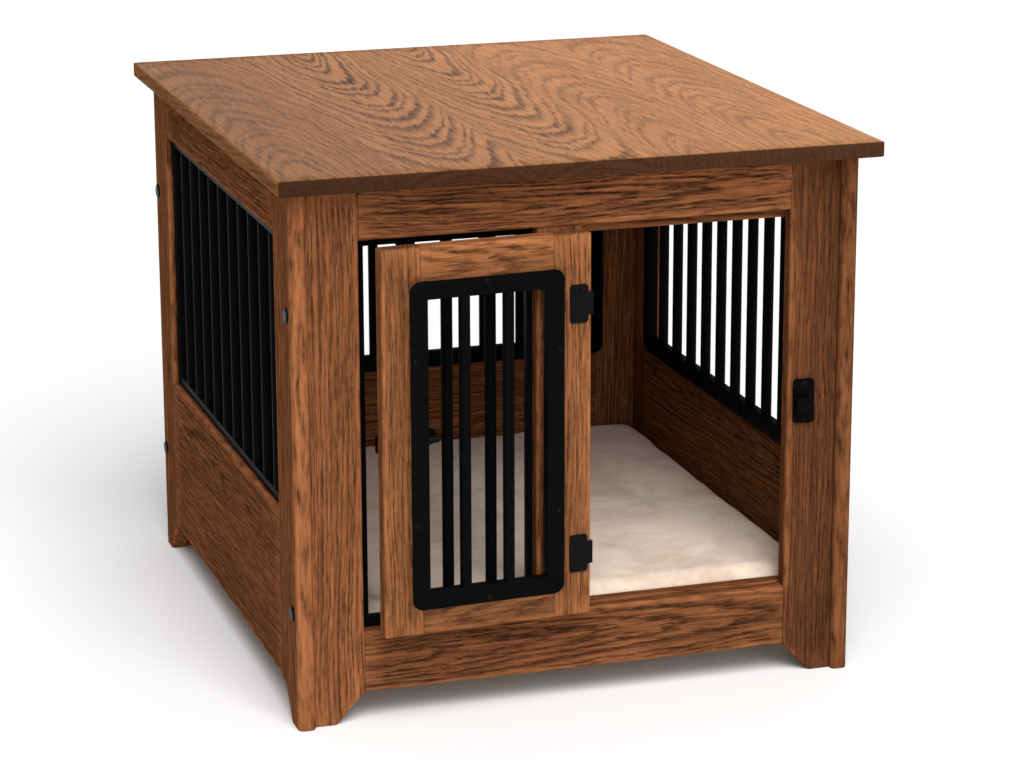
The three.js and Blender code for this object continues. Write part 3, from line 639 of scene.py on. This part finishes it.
def plywood_material(name):
    """Bare plywood: pale, with soft streaks along X."""
    material, w, shader = new_material(name)
    place = w.add("ShaderNodeTexCoord", None, "Object")
    streak = w.noise(place, (5.0, 90.0), 4.0, 0.6, 0.4)
    pale = w.mix(streak, (0.30, 0.19, 0.10, 1.0), (0.52, 0.38, 0.23, 1.0))
    w.feed(shader, {"Base Color": pale, "Roughness": 0.75})
    return material


def materials():
    """The part's materials by slot, made once."""
    made = {m.name.removeprefix("crate ").replace(" ", "_"): m
            for m in bpy.data.materials if m.name.startswith("crate ")}
    if made:
        return made
    scene = bpy.context.scene
    wood, black = scene.crate_wood, scene.crate_metal.colour
    groups = {"figure": oak_figure_group(), "edge": worn_and_lit_edge_group()}
    for name, base, figure in (("crate top oak", wood.top_colour, TOP_FIGURE),
                               ("crate frame oak", wood.frame_colour, FRAME_FIGURE),
                               ("crate door oak", wood.door_colour, DOOR_FIGURE)):
        oak_material(name, groups, base, wood.grain_colour, figure)
    black_material("crate black metal", black, 0.36, 0.12, 0.018)
    black_material("crate black steel", black, 0.28, 0.8, 0.07)
    plush_material("crate plush", scene.crate_cushion.colour)
    plywood_material("crate plywood")
    return materials()


# ---- What each board is ----
# Painted light and shade, board by board: the right side frame is darker, the left side's top rail is darker
# under the top's overhang and its bottom rail a little lighter, and the front's right stile is darker
# towards its bead.
SIDE_SHADE = {"left": 0.0, "right": -0.45}
RAIL_SHADING = {"left": (-0.2, 0.1), "right": (-0.3, -0.3)}  # of the top rail and the bottom rail
FRONT_STILE_SHADING = (0.0, (-0.3, -0.6))  # of the left stile and the right stile
# The back frame's stiles are made a little darker.
BACK_STILE_DARKENING = (-0.1, -0.1)
SIDE_RAIL_HEART = 55 * MM
STILE_HEART = 70 * MM  # a stile is sawn from beside the heart, so its grain runs nearly straight
JOINT_END = 0.6 * MM
STRIP_EDGE, STRIP_END = 1.5 * MM, 0.8 * MM
CLEAT_EDGE, CLEAT_END = 1 * MM, 0.5 * MM


def place_board(node, number, along, across, edges=((), ()), end_radius=JOINT_END, foot=None,
                slot="frame_oak", body="cabinet", pocket=None, heart=0.0, tone_and_shade=0.0, shaded_rim=0.0):
    """Makes one board where its frame node is. pocket names the grille that it is cut for."""
    low, high = node_box(node)
    points, faces, wear_and_highlight = board_mesh(low, high, along, across, edges, end_radius, foot)
    obj = make_object(f"{node}_board", points, faces)
    if pocket:
        cutter = pocket_cutter(pocket)
        wear_and_highlight = carve(obj, cutter, wear_and_highlight)
        bpy.data.objects.remove(cutter)
    add_grain(obj, wear_and_highlight, along, across, (low, high), number, heart, tone_and_shade, shaded_rim, end_radius)
    finish_piece(obj, body, slot, [node])


def full(node, along, radius):
    """A round-over over a board's whole length."""
    low, high = node_box(node)
    return [(low[along], high[along], radius)]


def window_edges(bottom, top, radius, foot_height):
    """Round-overs of a stile's inner edge: along its foot and along its window."""
    return [(-10 * MM, foot_height - 2 * SPAN_FADE, radius), (bottom, top, radius)]


def edge_radius():
    return bpy.context.scene.crate_wood.edge_radius


def window(name):
    """Heights of a window's lower and upper edge."""
    return node_box(f"{name}_bottom_rail")[1][Z], node_box(f"{name}_top_rail")[0][Z]


def side_boards(side, first):
    """The four boards of one side frame; side is 'left' or 'right'."""
    r = edge_radius()
    pocket = f"{side}_side_grille"
    inner = window_edges(*window(f"{side}_side"), r, SIDE_FOOT_HEIGHT)
    for k, (end, sign) in enumerate((("front", 1), ("back", -1))):
        node = f"{side}_side_{end}_stile"
        low, high = node_box(node)
        width = high[Y] - low[Y]
        foot = {"side": sign, "at": [0, SIDE_FOOT_HEIGHT, SIDE_FOOT_HEIGHT, high[Z]],
                "width": [SIDE_FOOT_WIDTH, SIDE_FOOT_WIDTH + SIDE_FOOT_RUN, width, width]}
        place_board(node, first + k, Z, Y, (full(node, Z, BEAD), inner)[::sign], FOOT_END, foot,
                    pocket=pocket, heart=STILE_HEART, tone_and_shade=SIDE_SHADE[side])
    for k, (name, is_open) in enumerate((("top", (True, False)), ("bottom", (True, True)))):
        node = f"{side}_side_{name}_rail"
        spans = tuple(full(node, Y, r) if exposed else [] for exposed in is_open)
        place_board(node, first + 2 + k, Y, Z, spans, pocket=pocket, heart=SIDE_RAIL_HEART,
                    tone_and_shade=RAIL_SHADING[side][k])


def end_stiles(end, first, tones_and_shades, pocket=None):
    """The left and right stiles of the front or back frame."""
    inner = window_edges(*window(end), edge_radius(), END_FOOT_HEIGHT)
    for k, (side, sign) in enumerate((("left", 1), ("right", -1))):
        node = f"{end}_{side}_stile"
        low, high = node_box(node)
        width = high[X] - low[X]
        foot = {"side": sign, "at": [0, END_FOOT_HEIGHT, high[Z]], "width": [END_FOOT_WIDTH, width, width]}
        place_board(node, first + k, Z, X, ([], inner)[::sign], FOOT_END, foot, pocket=pocket,
                    heart=STILE_HEART, tone_and_shade=tones_and_shades[k])


def front_boards(first):
    r = edge_radius()
    post, ends = node_box("front_mullion"), node_box("front_top_rail")
    spans = [(ends[0][X], post[0][X] - SPAN_FADE, r), (post[1][X] + SPAN_FADE, ends[1][X], r)]
    end_stiles("front", first, FRONT_STILE_SHADING)
    place_board("front_top_rail", first + 2, X, Z, (spans, []))
    place_board("front_bottom_rail", first + 3, X, Z, (full("front_bottom_rail", X, r), spans), tone_and_shade=-0.25)
    place_board("front_mullion", first + 4, Z, X, (full("front_mullion", Z, r),) * 2)
    for k, node in enumerate(("door_stop_strip", "door_sill_strip")):
        place_board(node, first + 5 + k, X, Z, (full(node, X, STRIP_EDGE),) * 2, STRIP_END)


def back_boards(first):
    r = edge_radius()
    pocket = "back_grille"
    end_stiles("back", first, BACK_STILE_DARKENING, pocket)
    place_board("back_top_rail", first + 2, X, Z, (full("back_top_rail", X, r), []), pocket=pocket)
    place_board("back_bottom_rail", first + 3, X, Z, (full("back_bottom_rail", X, r),) * 2, pocket=pocket)


def inside_boards(first):
    """The cleats under the floor and under the top."""
    for k, node in enumerate(("front_floor_cleat", "back_floor_cleat")):
        place_board(node, first + k, X, Z, (full(node, X, CLEAT_EDGE),) * 2)
    for k, node in enumerate(("left_floor_cleat", "right_floor_cleat", "left_top_cleat", "right_top_cleat")):
        place_board(node, first + 2 + k, Y, Z, (full(node, Y, CLEAT_EDGE),) * 2, CLEAT_END)


def door_boards(first):
    """The door's two stiles and two rails, placed with the door shut."""
    r = edge_radius()
    shared = {"slot": "door_oak", "body": "door", "pocket": "door_grille"}
    inner = [(*window("door"), r)]
    for k, (name, order) in enumerate((("door_hinge_stile", 1), ("door_latch_stile", -1))):
        place_board(name, first + k, Z, X, (full(name, Z, DOOR_EDGE), inner)[::order], DOOR_EDGE,
                    heart=STILE_HEART, **shared)
    for k, (name, order, tone_and_shade) in enumerate((("door_top_rail", 1, 0.3), ("door_bottom_rail", -1, -0.25))):
        spans = (full("door_top_rail", X, r), full("door_top_rail", X, DOOR_EDGE))
        place_board(name, first + 2 + k, X, Z, spans[::order], tone_and_shade=tone_and_shade, **shared)


# ---- Grilles ----
def matched_outlines(low, high):
    """Outer and inner edge of a border, point for point, both round a rectangle's middle."""
    lines = []
    for inset, corner in ((0.0, GRILLE_CORNER), (GRILLE_BORDER, WINDOW_CORNER)):
        corners = rounded_outline(low + inset, high - inset, corner, 6).reshape(4, -1, 2)
        start, stop = corners[:, -1:], np.roll(corners[:, :1], -1, axis=0)
        straight = start + (stop - start) * np.linspace(0, 1, 10)[1:-1, None]
        lines.append(np.concatenate([corners, straight], axis=1).reshape(-1, 2))
    return lines


def border_mesh(low, high, depth, easing):
    """A flat border: a rounded-rectangle section carried round a rounded-rectangle path. The section
    lies in from the outer edge by easing (1 - cos t) and from the face by easing (1 - sin t)."""
    outer, inner = matched_outlines(low, high)
    t = np.linspace(0, math.pi / 2, 4)
    inset, drop = easing * (1 - np.cos(t)), easing * (1 - np.sin(t))
    inset = np.concatenate([inset, GRILLE_BORDER - inset[::-1]])
    drop = np.concatenate([drop, drop[::-1]])
    share = np.concatenate([inset, inset[::-1]])[None, :, None] / GRILLE_BORDER
    flat = outer[:, None] * (1 - share) + inner[:, None] * share
    rise = np.concatenate([depth[1] - drop, depth[0] + drop[::-1]])
    return np.concatenate([flat, np.broadcast_to(rise[:, None], flat.shape[:2] + (1,))], -1)


def rod_rings(across, low, high, middle, sides=24):
    """A straight rod along the second axis: rings of middle + r (cos t, sin t)."""
    t = np.linspace(0, 2 * math.pi, sides, endpoint=False)
    ends = np.array([low, low + 2 * ROD_SUNK, high - 2 * ROD_SUNK, high])
    rings = np.empty((len(ends), sides, 3))
    rings[..., 0] = across + ROD_RADIUS * np.cos(t)
    rings[..., 1] = ends[:, None]
    rings[..., 2] = middle + ROD_RADIUS * np.sin(t)
    return rings


def body_of(grille):
    return "door" if grille in ON_DOOR else "cabinet"


def make_grille(node):
    """A border with its rods, in the place of one frame node."""
    low, high = node_box(node)
    through, _, count, pitch, offset = GRILLES[node]
    axes = [Y if through == X else X, Z]
    depth = (low[through], high[through])
    first = (low[axes[0]] + high[axes[0]]) / 2 + offset - pitch * (count - 1) / 2
    ends = low[Z] + GRILLE_BORDER - ROD_SUNK, high[Z] - GRILLE_BORDER + ROD_SUNK
    easing = bpy.context.scene.crate_metal.edge_radius
    forms = [border_mesh(low[axes], high[axes], depth, easing)]
    forms += [rod_rings(first + pitch * k, *ends, sum(depth) / 2) for k in range(count)]
    shells = []
    for form in forms:
        world = np.empty_like(form)
        world[..., [*axes, through]] = form
        faces = sweep_faces if shells else torus_faces  # the border comes first
        shells.append((world.reshape(-1, 3), faces(*form.shape[:2])))
    finish_piece(make_object(f"{node}_rods", *joined(shells)), body_of(node), "black_metal", [node])


# ---- Screws ----
SCREW_RADIUS = 3.0 * MM
SCREW_RISE = 1.3 * MM
SCREW_BASE = -0.4 * MM
RECESS_REACH = 1.7 * MM
RECESS_HALF = 0.42 * MM
RECESS_DEPTH = 0.8 * MM
SCREW_INSET = 5.5 * MM  # from a grille's edge
CASE_FACE = 2.3 * MM  # how far the latch case's plate stands out from the wood
KEEPER_FACE = 4.3 * MM  # the same for the keeper's


def screw_head(place, facing):
    """A round-topped head with a cross recess: rise (1 - 3/4 (r / R)^3) less the recess, on a grid
    of r and turn. facing is the unit vector that the head looks along."""
    around = 48
    r = np.concatenate([[0.02, 0.2, 0.36, 0.48, 0.7, 1.0, 1.3, 1.6, 1.8], np.linspace(2.0, 3.0, 6)]) * MM
    t = np.linspace(0, 2 * math.pi, around, endpoint=False)
    u, v = np.outer(r, np.cos(t)), np.outer(r, np.sin(t))
    dome = SCREW_RISE * (1 - 0.75 * (r[:, None] / SCREW_RADIUS) ** 3) + 0 * u
    slot = (np.minimum(np.abs(u), np.abs(v)) < RECESS_HALF) & (r[:, None] < RECESS_REACH)
    rings = np.stack([u, v, np.where(slot, dome - RECESS_DEPTH, dome)], -1)
    base = rings[-1:] * (1, 1, 0) + (0, 0, SCREW_BASE)
    rings = np.concatenate([rings, base])
    turned = Vector((0, 0, 1)).rotation_difference(Vector(facing)).to_matrix()
    return rings.reshape(-1, 3) @ np.array(turned).T + np.array(place), sweep_faces(len(rings), around)


def screw_set(name, places, facing, body="cabinet"):
    """All the screw heads of one fitting as one piece. Those of the door are placed with it shut."""
    heads = joined([screw_head(place, facing) for place in places])
    finish_piece(make_object(name, *heads, sharp=50), body, "black_steel")


def grille_screws(node):
    """Screws through a grille's border: two up each side, one in the middle of its top and bottom."""
    through, side = GRILLES[node][:2]
    low, high = node_box(node)
    across = Y if through == X else X
    edges = low[across] + SCREW_INSET, high[across] - SCREW_INSET
    spots = [(edge, low[Z] + share * (high[Z] - low[Z])) for edge in edges for share in (0.26, 0.76)]
    middle = (low[across] + high[across]) / 2
    spots += [(middle, low[Z] + SCREW_INSET), (middle, high[Z] - SCREW_INSET)]
    places = np.empty((len(spots), 3))
    places[:, [across, Z]] = spots
    places[:, through] = high[through] if side > 0 else low[through]
    facing = np.zeros(3)
    facing[through] = side
    screw_set(f"{node}_screws", places, facing, body_of(node))


def fitting_screws():
    """Screws of the two hinges, the latch case and the keeper."""
    front_face = node_box("front_top_rail")[0][Y]
    door_low, door_high = node_box("door_hinge_stile")
    for name in ("upper", "lower"):
        low, high = node_box(f"{name}_hinge_frame_leaf")
        middle = (low[Z] + high[Z]) / 2
        frame_spots = [(low[X] + 12 * MM, front_face - LEAF_THICK, middle + up * MM) for up in (-12, 12)]
        door_spots = [(door_low[X] + 17 * MM, door_high[Y] + LEAF_THICK, middle + up * MM)
                      for up in (-14, 14)]
        screw_set(f"{name}_hinge_frame_screws", frame_spots, (0, -1, 0))
        screw_set(f"{name}_hinge_door_screws", door_spots, (0, 1, 0), "door")
    low, high = node_box("latch_case")
    spots = [(low[X] + along * MM, door_low[Y] - CASE_FACE, (low[Z] + high[Z]) / 2 + up * MM)
             for along in (8, 32) for up in (-17, 17)]
    screw_set("latch_case_screws", spots, (0, -1, 0), "door")
    middle = sum(node_box("latch_keeper")) / 2
    spots = [(middle[X], front_face - KEEPER_FACE, middle[Z] + up * MM) for up in (-19, 19)]
    screw_set("keeper_screws", spots, (0, -1, 0))


# ---- Cushion ----
CUSHION_CORNER = 10 * MM
CUSHION_SIDE = 20 * MM  # how far its rounded side reaches in
CUSHION_FLAT = 23 * MM  # where the flat under it and the crown on it begin
LAST_RING = 0.98  # share of the half width at which the middle is closed


def cushion_mesh(low, high):
    """A crowned closed form: rings of a rounded outline that shrink towards the two middles.

    The outline draws in between the corners by pull_in cos^2. The side is a half turn, in by
    CUSHION_SIDE (1 - cos t), and the top rises from there by the crown's part of the thickness,
    times 1 - (1 - share)^3, share running from the edge to the middle.
    """
    settings = bpy.context.scene.crate_cushion
    around = 240
    middle, half = (low + high) / 2, (high - low) / 2
    path = rounded_outline(-half[:2], half[:2], CUSHION_CORNER, 12)
    closed = np.vstack([path, path[:1]])
    lengths = np.concatenate([[0], np.cumsum(np.linalg.norm(np.diff(closed, axis=0), axis=1))])
    wanted = np.linspace(0, lengths[-1], around, endpoint=False)
    outline = np.stack([np.interp(wanted, lengths, closed[:, k]) for k in (0, 1)], -1)
    share = np.abs(outline) / half[:2]
    pull = settings.pull_in * np.cos(share[:, ::-1] * math.pi / 2) ** 2
    outline = outline - np.sign(outline) * pull * (share > 0.999)

    thick = high[Z] - low[Z]
    t = np.linspace(-math.pi / 2, math.pi / 2, 17)
    side_up = thick / 2 * (1 + np.sin(t)) * (1 - settings.crown)
    under = np.linspace(half[X] * LAST_RING, CUSHION_FLAT, 22)
    over = np.linspace(CUSHION_FLAT, half[X] * LAST_RING, 40)
    share = (over - over[0]) / (over[-1] - over[0])
    crown = side_up[-1] + (thick - side_up[-1]) * (1 - (1 - share) ** 3)
    insets = np.concatenate([under, CUSHION_SIDE * (1 - np.cos(t)), over])
    rises = np.concatenate([0 * under, side_up, crown])
    scale = np.clip((half[:2] - insets[:, None]) / half[:2], 0.002, 1)
    rings = np.empty((len(insets), around, 3))
    rings[..., :2] = middle[:2] + outline * scale[:, None]
    rings[..., 2] = low[Z] + rises[:, None]
    return rings


def wrinkles(points, low, high):
    """Soft shallow folds: a sum of long sine waves across each other, stronger near the sides."""
    x, y = points[..., 0], points[..., 1]
    wave = (np.sin(34 * x + 9 * np.sin(11 * y)) * np.sin(21 * y + 5 * np.sin(13 * x))
            + 0.5 * np.sin(61 * y + 7 * np.sin(17 * x + 1.3)))
    middle, half = (low + high) / 2, (high - low) / 2
    near_side = np.clip(np.max(np.abs(points - middle)[..., :2] / half[:2], axis=-1), 0, 1)
    lifted = np.clip((points[..., 2] - (low[Z] + 0.6 * (high[Z] - low[Z]))) / (10 * MM), 0, 1)
    out = points.copy()
    out[..., 2] += lifted * wave * (0.5 * MM + 0.5 * MM * near_side ** 4)
    return out


# ---- Operators ----
class CRATE_OT_top(bpy.types.Operator):
    """Makes the table's top with its eased edges"""
    bl_idname = "crate.make_top"
    bl_label = "Top"

    def execute(self, context):
        radius = context.scene.crate_wood.top_radius
        # Painted shade: the top is darker towards its left edge and lighter towards its right, and its long
        # edges are darkened like end grain.
        place_board("tabletop", 1, Y, X, (full("tabletop", Y, radius),) * 2, radius, slot="top_oak",
                    tone_and_shade=(-0.45, 0.15), shaded_rim=0.35)
        return {"FINISHED"}


class CRATE_OT_frames(bpy.types.Operator):
    """Makes the boards of the four frames, the strips behind the doorway and the cleats"""
    bl_idname = "crate.make_frames"
    bl_label = "Frames"

    def execute(self, context):
        side_boards("left", 10)
        side_boards("right", 20)
        front_boards(30)
        back_boards(40)
        inside_boards(50)
        return {"FINISHED"}


class CRATE_OT_door(bpy.types.Operator):
    """Makes the door's four boards"""
    bl_idname = "crate.make_door"
    bl_label = "Door"

    def execute(self, context):
        door_boards(60)
        return {"FINISHED"}


class CRATE_OT_grilles(bpy.types.Operator):
    """Makes the five rod grilles"""
    bl_idname = "crate.make_grilles"
    bl_label = "Grilles"

    def execute(self, context):
        for name in GRILLES:
            make_grille(name)
        return {"FINISHED"}


class CRATE_OT_hardware(bpy.types.Operator):
    """Finishes the hinges, the latch, the bolts and the screws that the frame holds"""
    bl_idname = "crate.make_hardware"
    bl_label = "Hardware"

    def execute(self, context):
        for name, obj in frame["nodes"].items():
            if name.endswith(("_bolt", "_screw", "_leaf", "_pin", "_knob", "_keeper", "_case")):
                metal = "black_metal" if name.endswith(("knob", "keeper", "case")) else "black_steel"
                for slot in obj.material_slots:
                    slot.material = materials()[metal]
                weld = obj.modifiers.new("weld", "WELD")
                weld.merge_threshold = 0.005 * MM
                bevel = obj.modifiers.new("eased edges", "BEVEL")
                bevel.width = 0.4 * MM
                bevel.segments = 2
                bevel.limit_method = "ANGLE"
                bevel.angle_limit = math.radians(40)
        return {"FINISHED"}


class CRATE_OT_screws(bpy.types.Operator):
    """Makes the small screws of the grilles, the hinges, the latch and the keeper"""
    bl_idname = "crate.make_screws"
    bl_label = "Screws"

    def execute(self, context):
        for name in GRILLES:
            grille_screws(name)
        fitting_screws()
        return {"FINISHED"}


class CRATE_OT_floor_panel(bpy.types.Operator):
    """Finishes the plywood floor panel"""
    bl_idname = "crate.make_floor_panel"
    bl_label = "Floor panel"

    def execute(self, context):
        for slot in frame["nodes"]["floor_panel"].material_slots:
            slot.material = materials()["plywood"]
        return {"FINISHED"}


class CRATE_OT_cushion(bpy.types.Operator):
    """Makes the plush cushion"""
    bl_idname = "crate.make_cushion"
    bl_label = "Cushion"

    def execute(self, context):
        low, high = node_box("cushion")
        rings = wrinkles(cushion_mesh(low, high), low, high)
        points = rings.reshape(-1, 3)
        obj = make_object("plush_cushion", points, outward(points, sweep_faces(*rings.shape[:2])), sharp=180)
        finish_piece(obj, "cabinet", "plush", ["cushion"])
        return {"FINISHED"}


# ---- Stage ----
CAMERA_AT = (-1.08108, -3.49375, 1.28514)
CAMERA_YAW, CAMERA_PITCH, CAMERA_ROLL = 17.669, -15.514, -0.154
SENSOR = 36.0  # mm
LENS = 113.03  # mm
FLOOR_RADIUS = 30


def camera_matrix(position, yaw, pitch, roll):
    """Camera to world: yaw turns from +Y towards +X, pitch is above level, roll tips right down."""
    y, p, r = (math.radians(a) for a in (yaw, pitch, roll))
    forward = Vector((math.sin(y) * math.cos(p), math.cos(y) * math.cos(p), math.sin(p)))
    level = Vector((math.cos(y), -math.sin(y), 0.0))
    upright = level.cross(forward)
    right = level * math.cos(r) + upright * math.sin(r)
    up = -level * math.sin(r) + upright * math.cos(r)
    matrix = Matrix((right, up, -forward)).transposed().to_4x4()
    matrix.translation = Vector(position)
    return matrix


def broad_light(name, towards, strength, spread):
    """A distant soft light that shines in the given direction."""
    data = bpy.data.lights.new(name, "SUN")
    data.angle = math.radians(spread)
    data.energy = strength
    obj = bpy.data.objects.new(name, data)
    obj.rotation_euler = Vector(towards).to_track_quat("-Z", "Y").to_euler()
    bpy.context.scene.collection.objects.link(obj)


class CRATE_OT_stage(bpy.types.Operator):
    """Sets the camera, the pale floor and the studio light"""
    bl_idname = "crate.make_stage"
    bl_label = "Stage"

    def execute(self, context):
        settings = context.scene.crate_stage
        camera = bpy.data.cameras.new("camera")
        camera.lens = LENS
        camera.sensor_width = SENSOR
        camera.clip_end = 100.0
        holder = bpy.data.objects.new("camera", camera)
        holder.matrix_world = camera_matrix(CAMERA_AT, CAMERA_YAW, CAMERA_PITCH, CAMERA_ROLL)
        context.scene.collection.objects.link(holder)
        context.scene.camera = holder

        t = np.linspace(0, 2 * math.pi, 64, endpoint=False)
        rim = np.stack([FLOOR_RADIUS * np.cos(t), FLOOR_RADIUS * np.sin(t), 0 * t], -1)
        floor = make_object("studio_floor", rim, [list(range(64))])
        material, w, shader = new_material("studio floor")
        w.feed(shader, {"Base Color": tint(settings.floor_colour), "Roughness": 0.9})
        floor.data.materials.append(material)

        world = bpy.data.worlds.new("studio")
        context.scene.world = world
        world.use_nodes = True
        w = Wiring(world.node_tree)
        seen = w.add("ShaderNodeLightPath", None, "Is Camera Ray")  # the camera sees plain white
        strength = seen * (1.0 - settings.sky_strength) + settings.sky_strength
        w.feed(world.node_tree.nodes["Background"], {"Color": (1, 1, 1, 1), "Strength": strength})
        broad_light("key", (0.08, 0.68, -1.0), settings.key_strength, 40)
        broad_light("front light", (0.0, 1.0, -0.42), settings.key_strength * 0.5, 50)
        context.scene.view_settings.view_transform = "Standard"
        return {"FINISHED"}


class CRATE_PT_panel(bpy.types.Panel):
    """Lists the crate's operators."""
    bl_label = "Crate"
    bl_space_type = "VIEW_3D"
    bl_region_type = "UI"
    bl_category = "Crate"

    def draw(self, context):
        for operator in OPERATORS:
            self.layout.operator(operator.bl_idname)


SETTINGS = {
    "crate_wood": CrateWoodSettings,
    "crate_metal": CrateMetalSettings,
    "crate_cushion": CrateCushionSettings,
    "crate_stage": CrateStageSettings,
}
OPERATORS = (CRATE_OT_top, CRATE_OT_frames, CRATE_OT_door, CRATE_OT_grilles, CRATE_OT_hardware,
             CRATE_OT_screws, CRATE_OT_floor_panel, CRATE_OT_cushion, CRATE_OT_stage)


def register():
    for kind in (*SETTINGS.values(), *OPERATORS, CRATE_PT_panel):
        bpy.utils.register_class(kind)
    for name, kind in SETTINGS.items():
        setattr(bpy.types.Scene, name, bpy.props.PointerProperty(type=kind))


def unregister():
    for name in SETTINGS:
        delattr(bpy.types.Scene, name)
    for kind in (CRATE_PT_panel, *OPERATORS[::-1], *SETTINGS.values()):
        bpy.utils.unregister_class(kind)


def main():
    """Makes every piece in order."""
    register()
    for operator in OPERATORS:
        getattr(bpy.ops.crate, operator.bl_idname.removeprefix("crate."))()


if __name__ == "__main__":
    main()
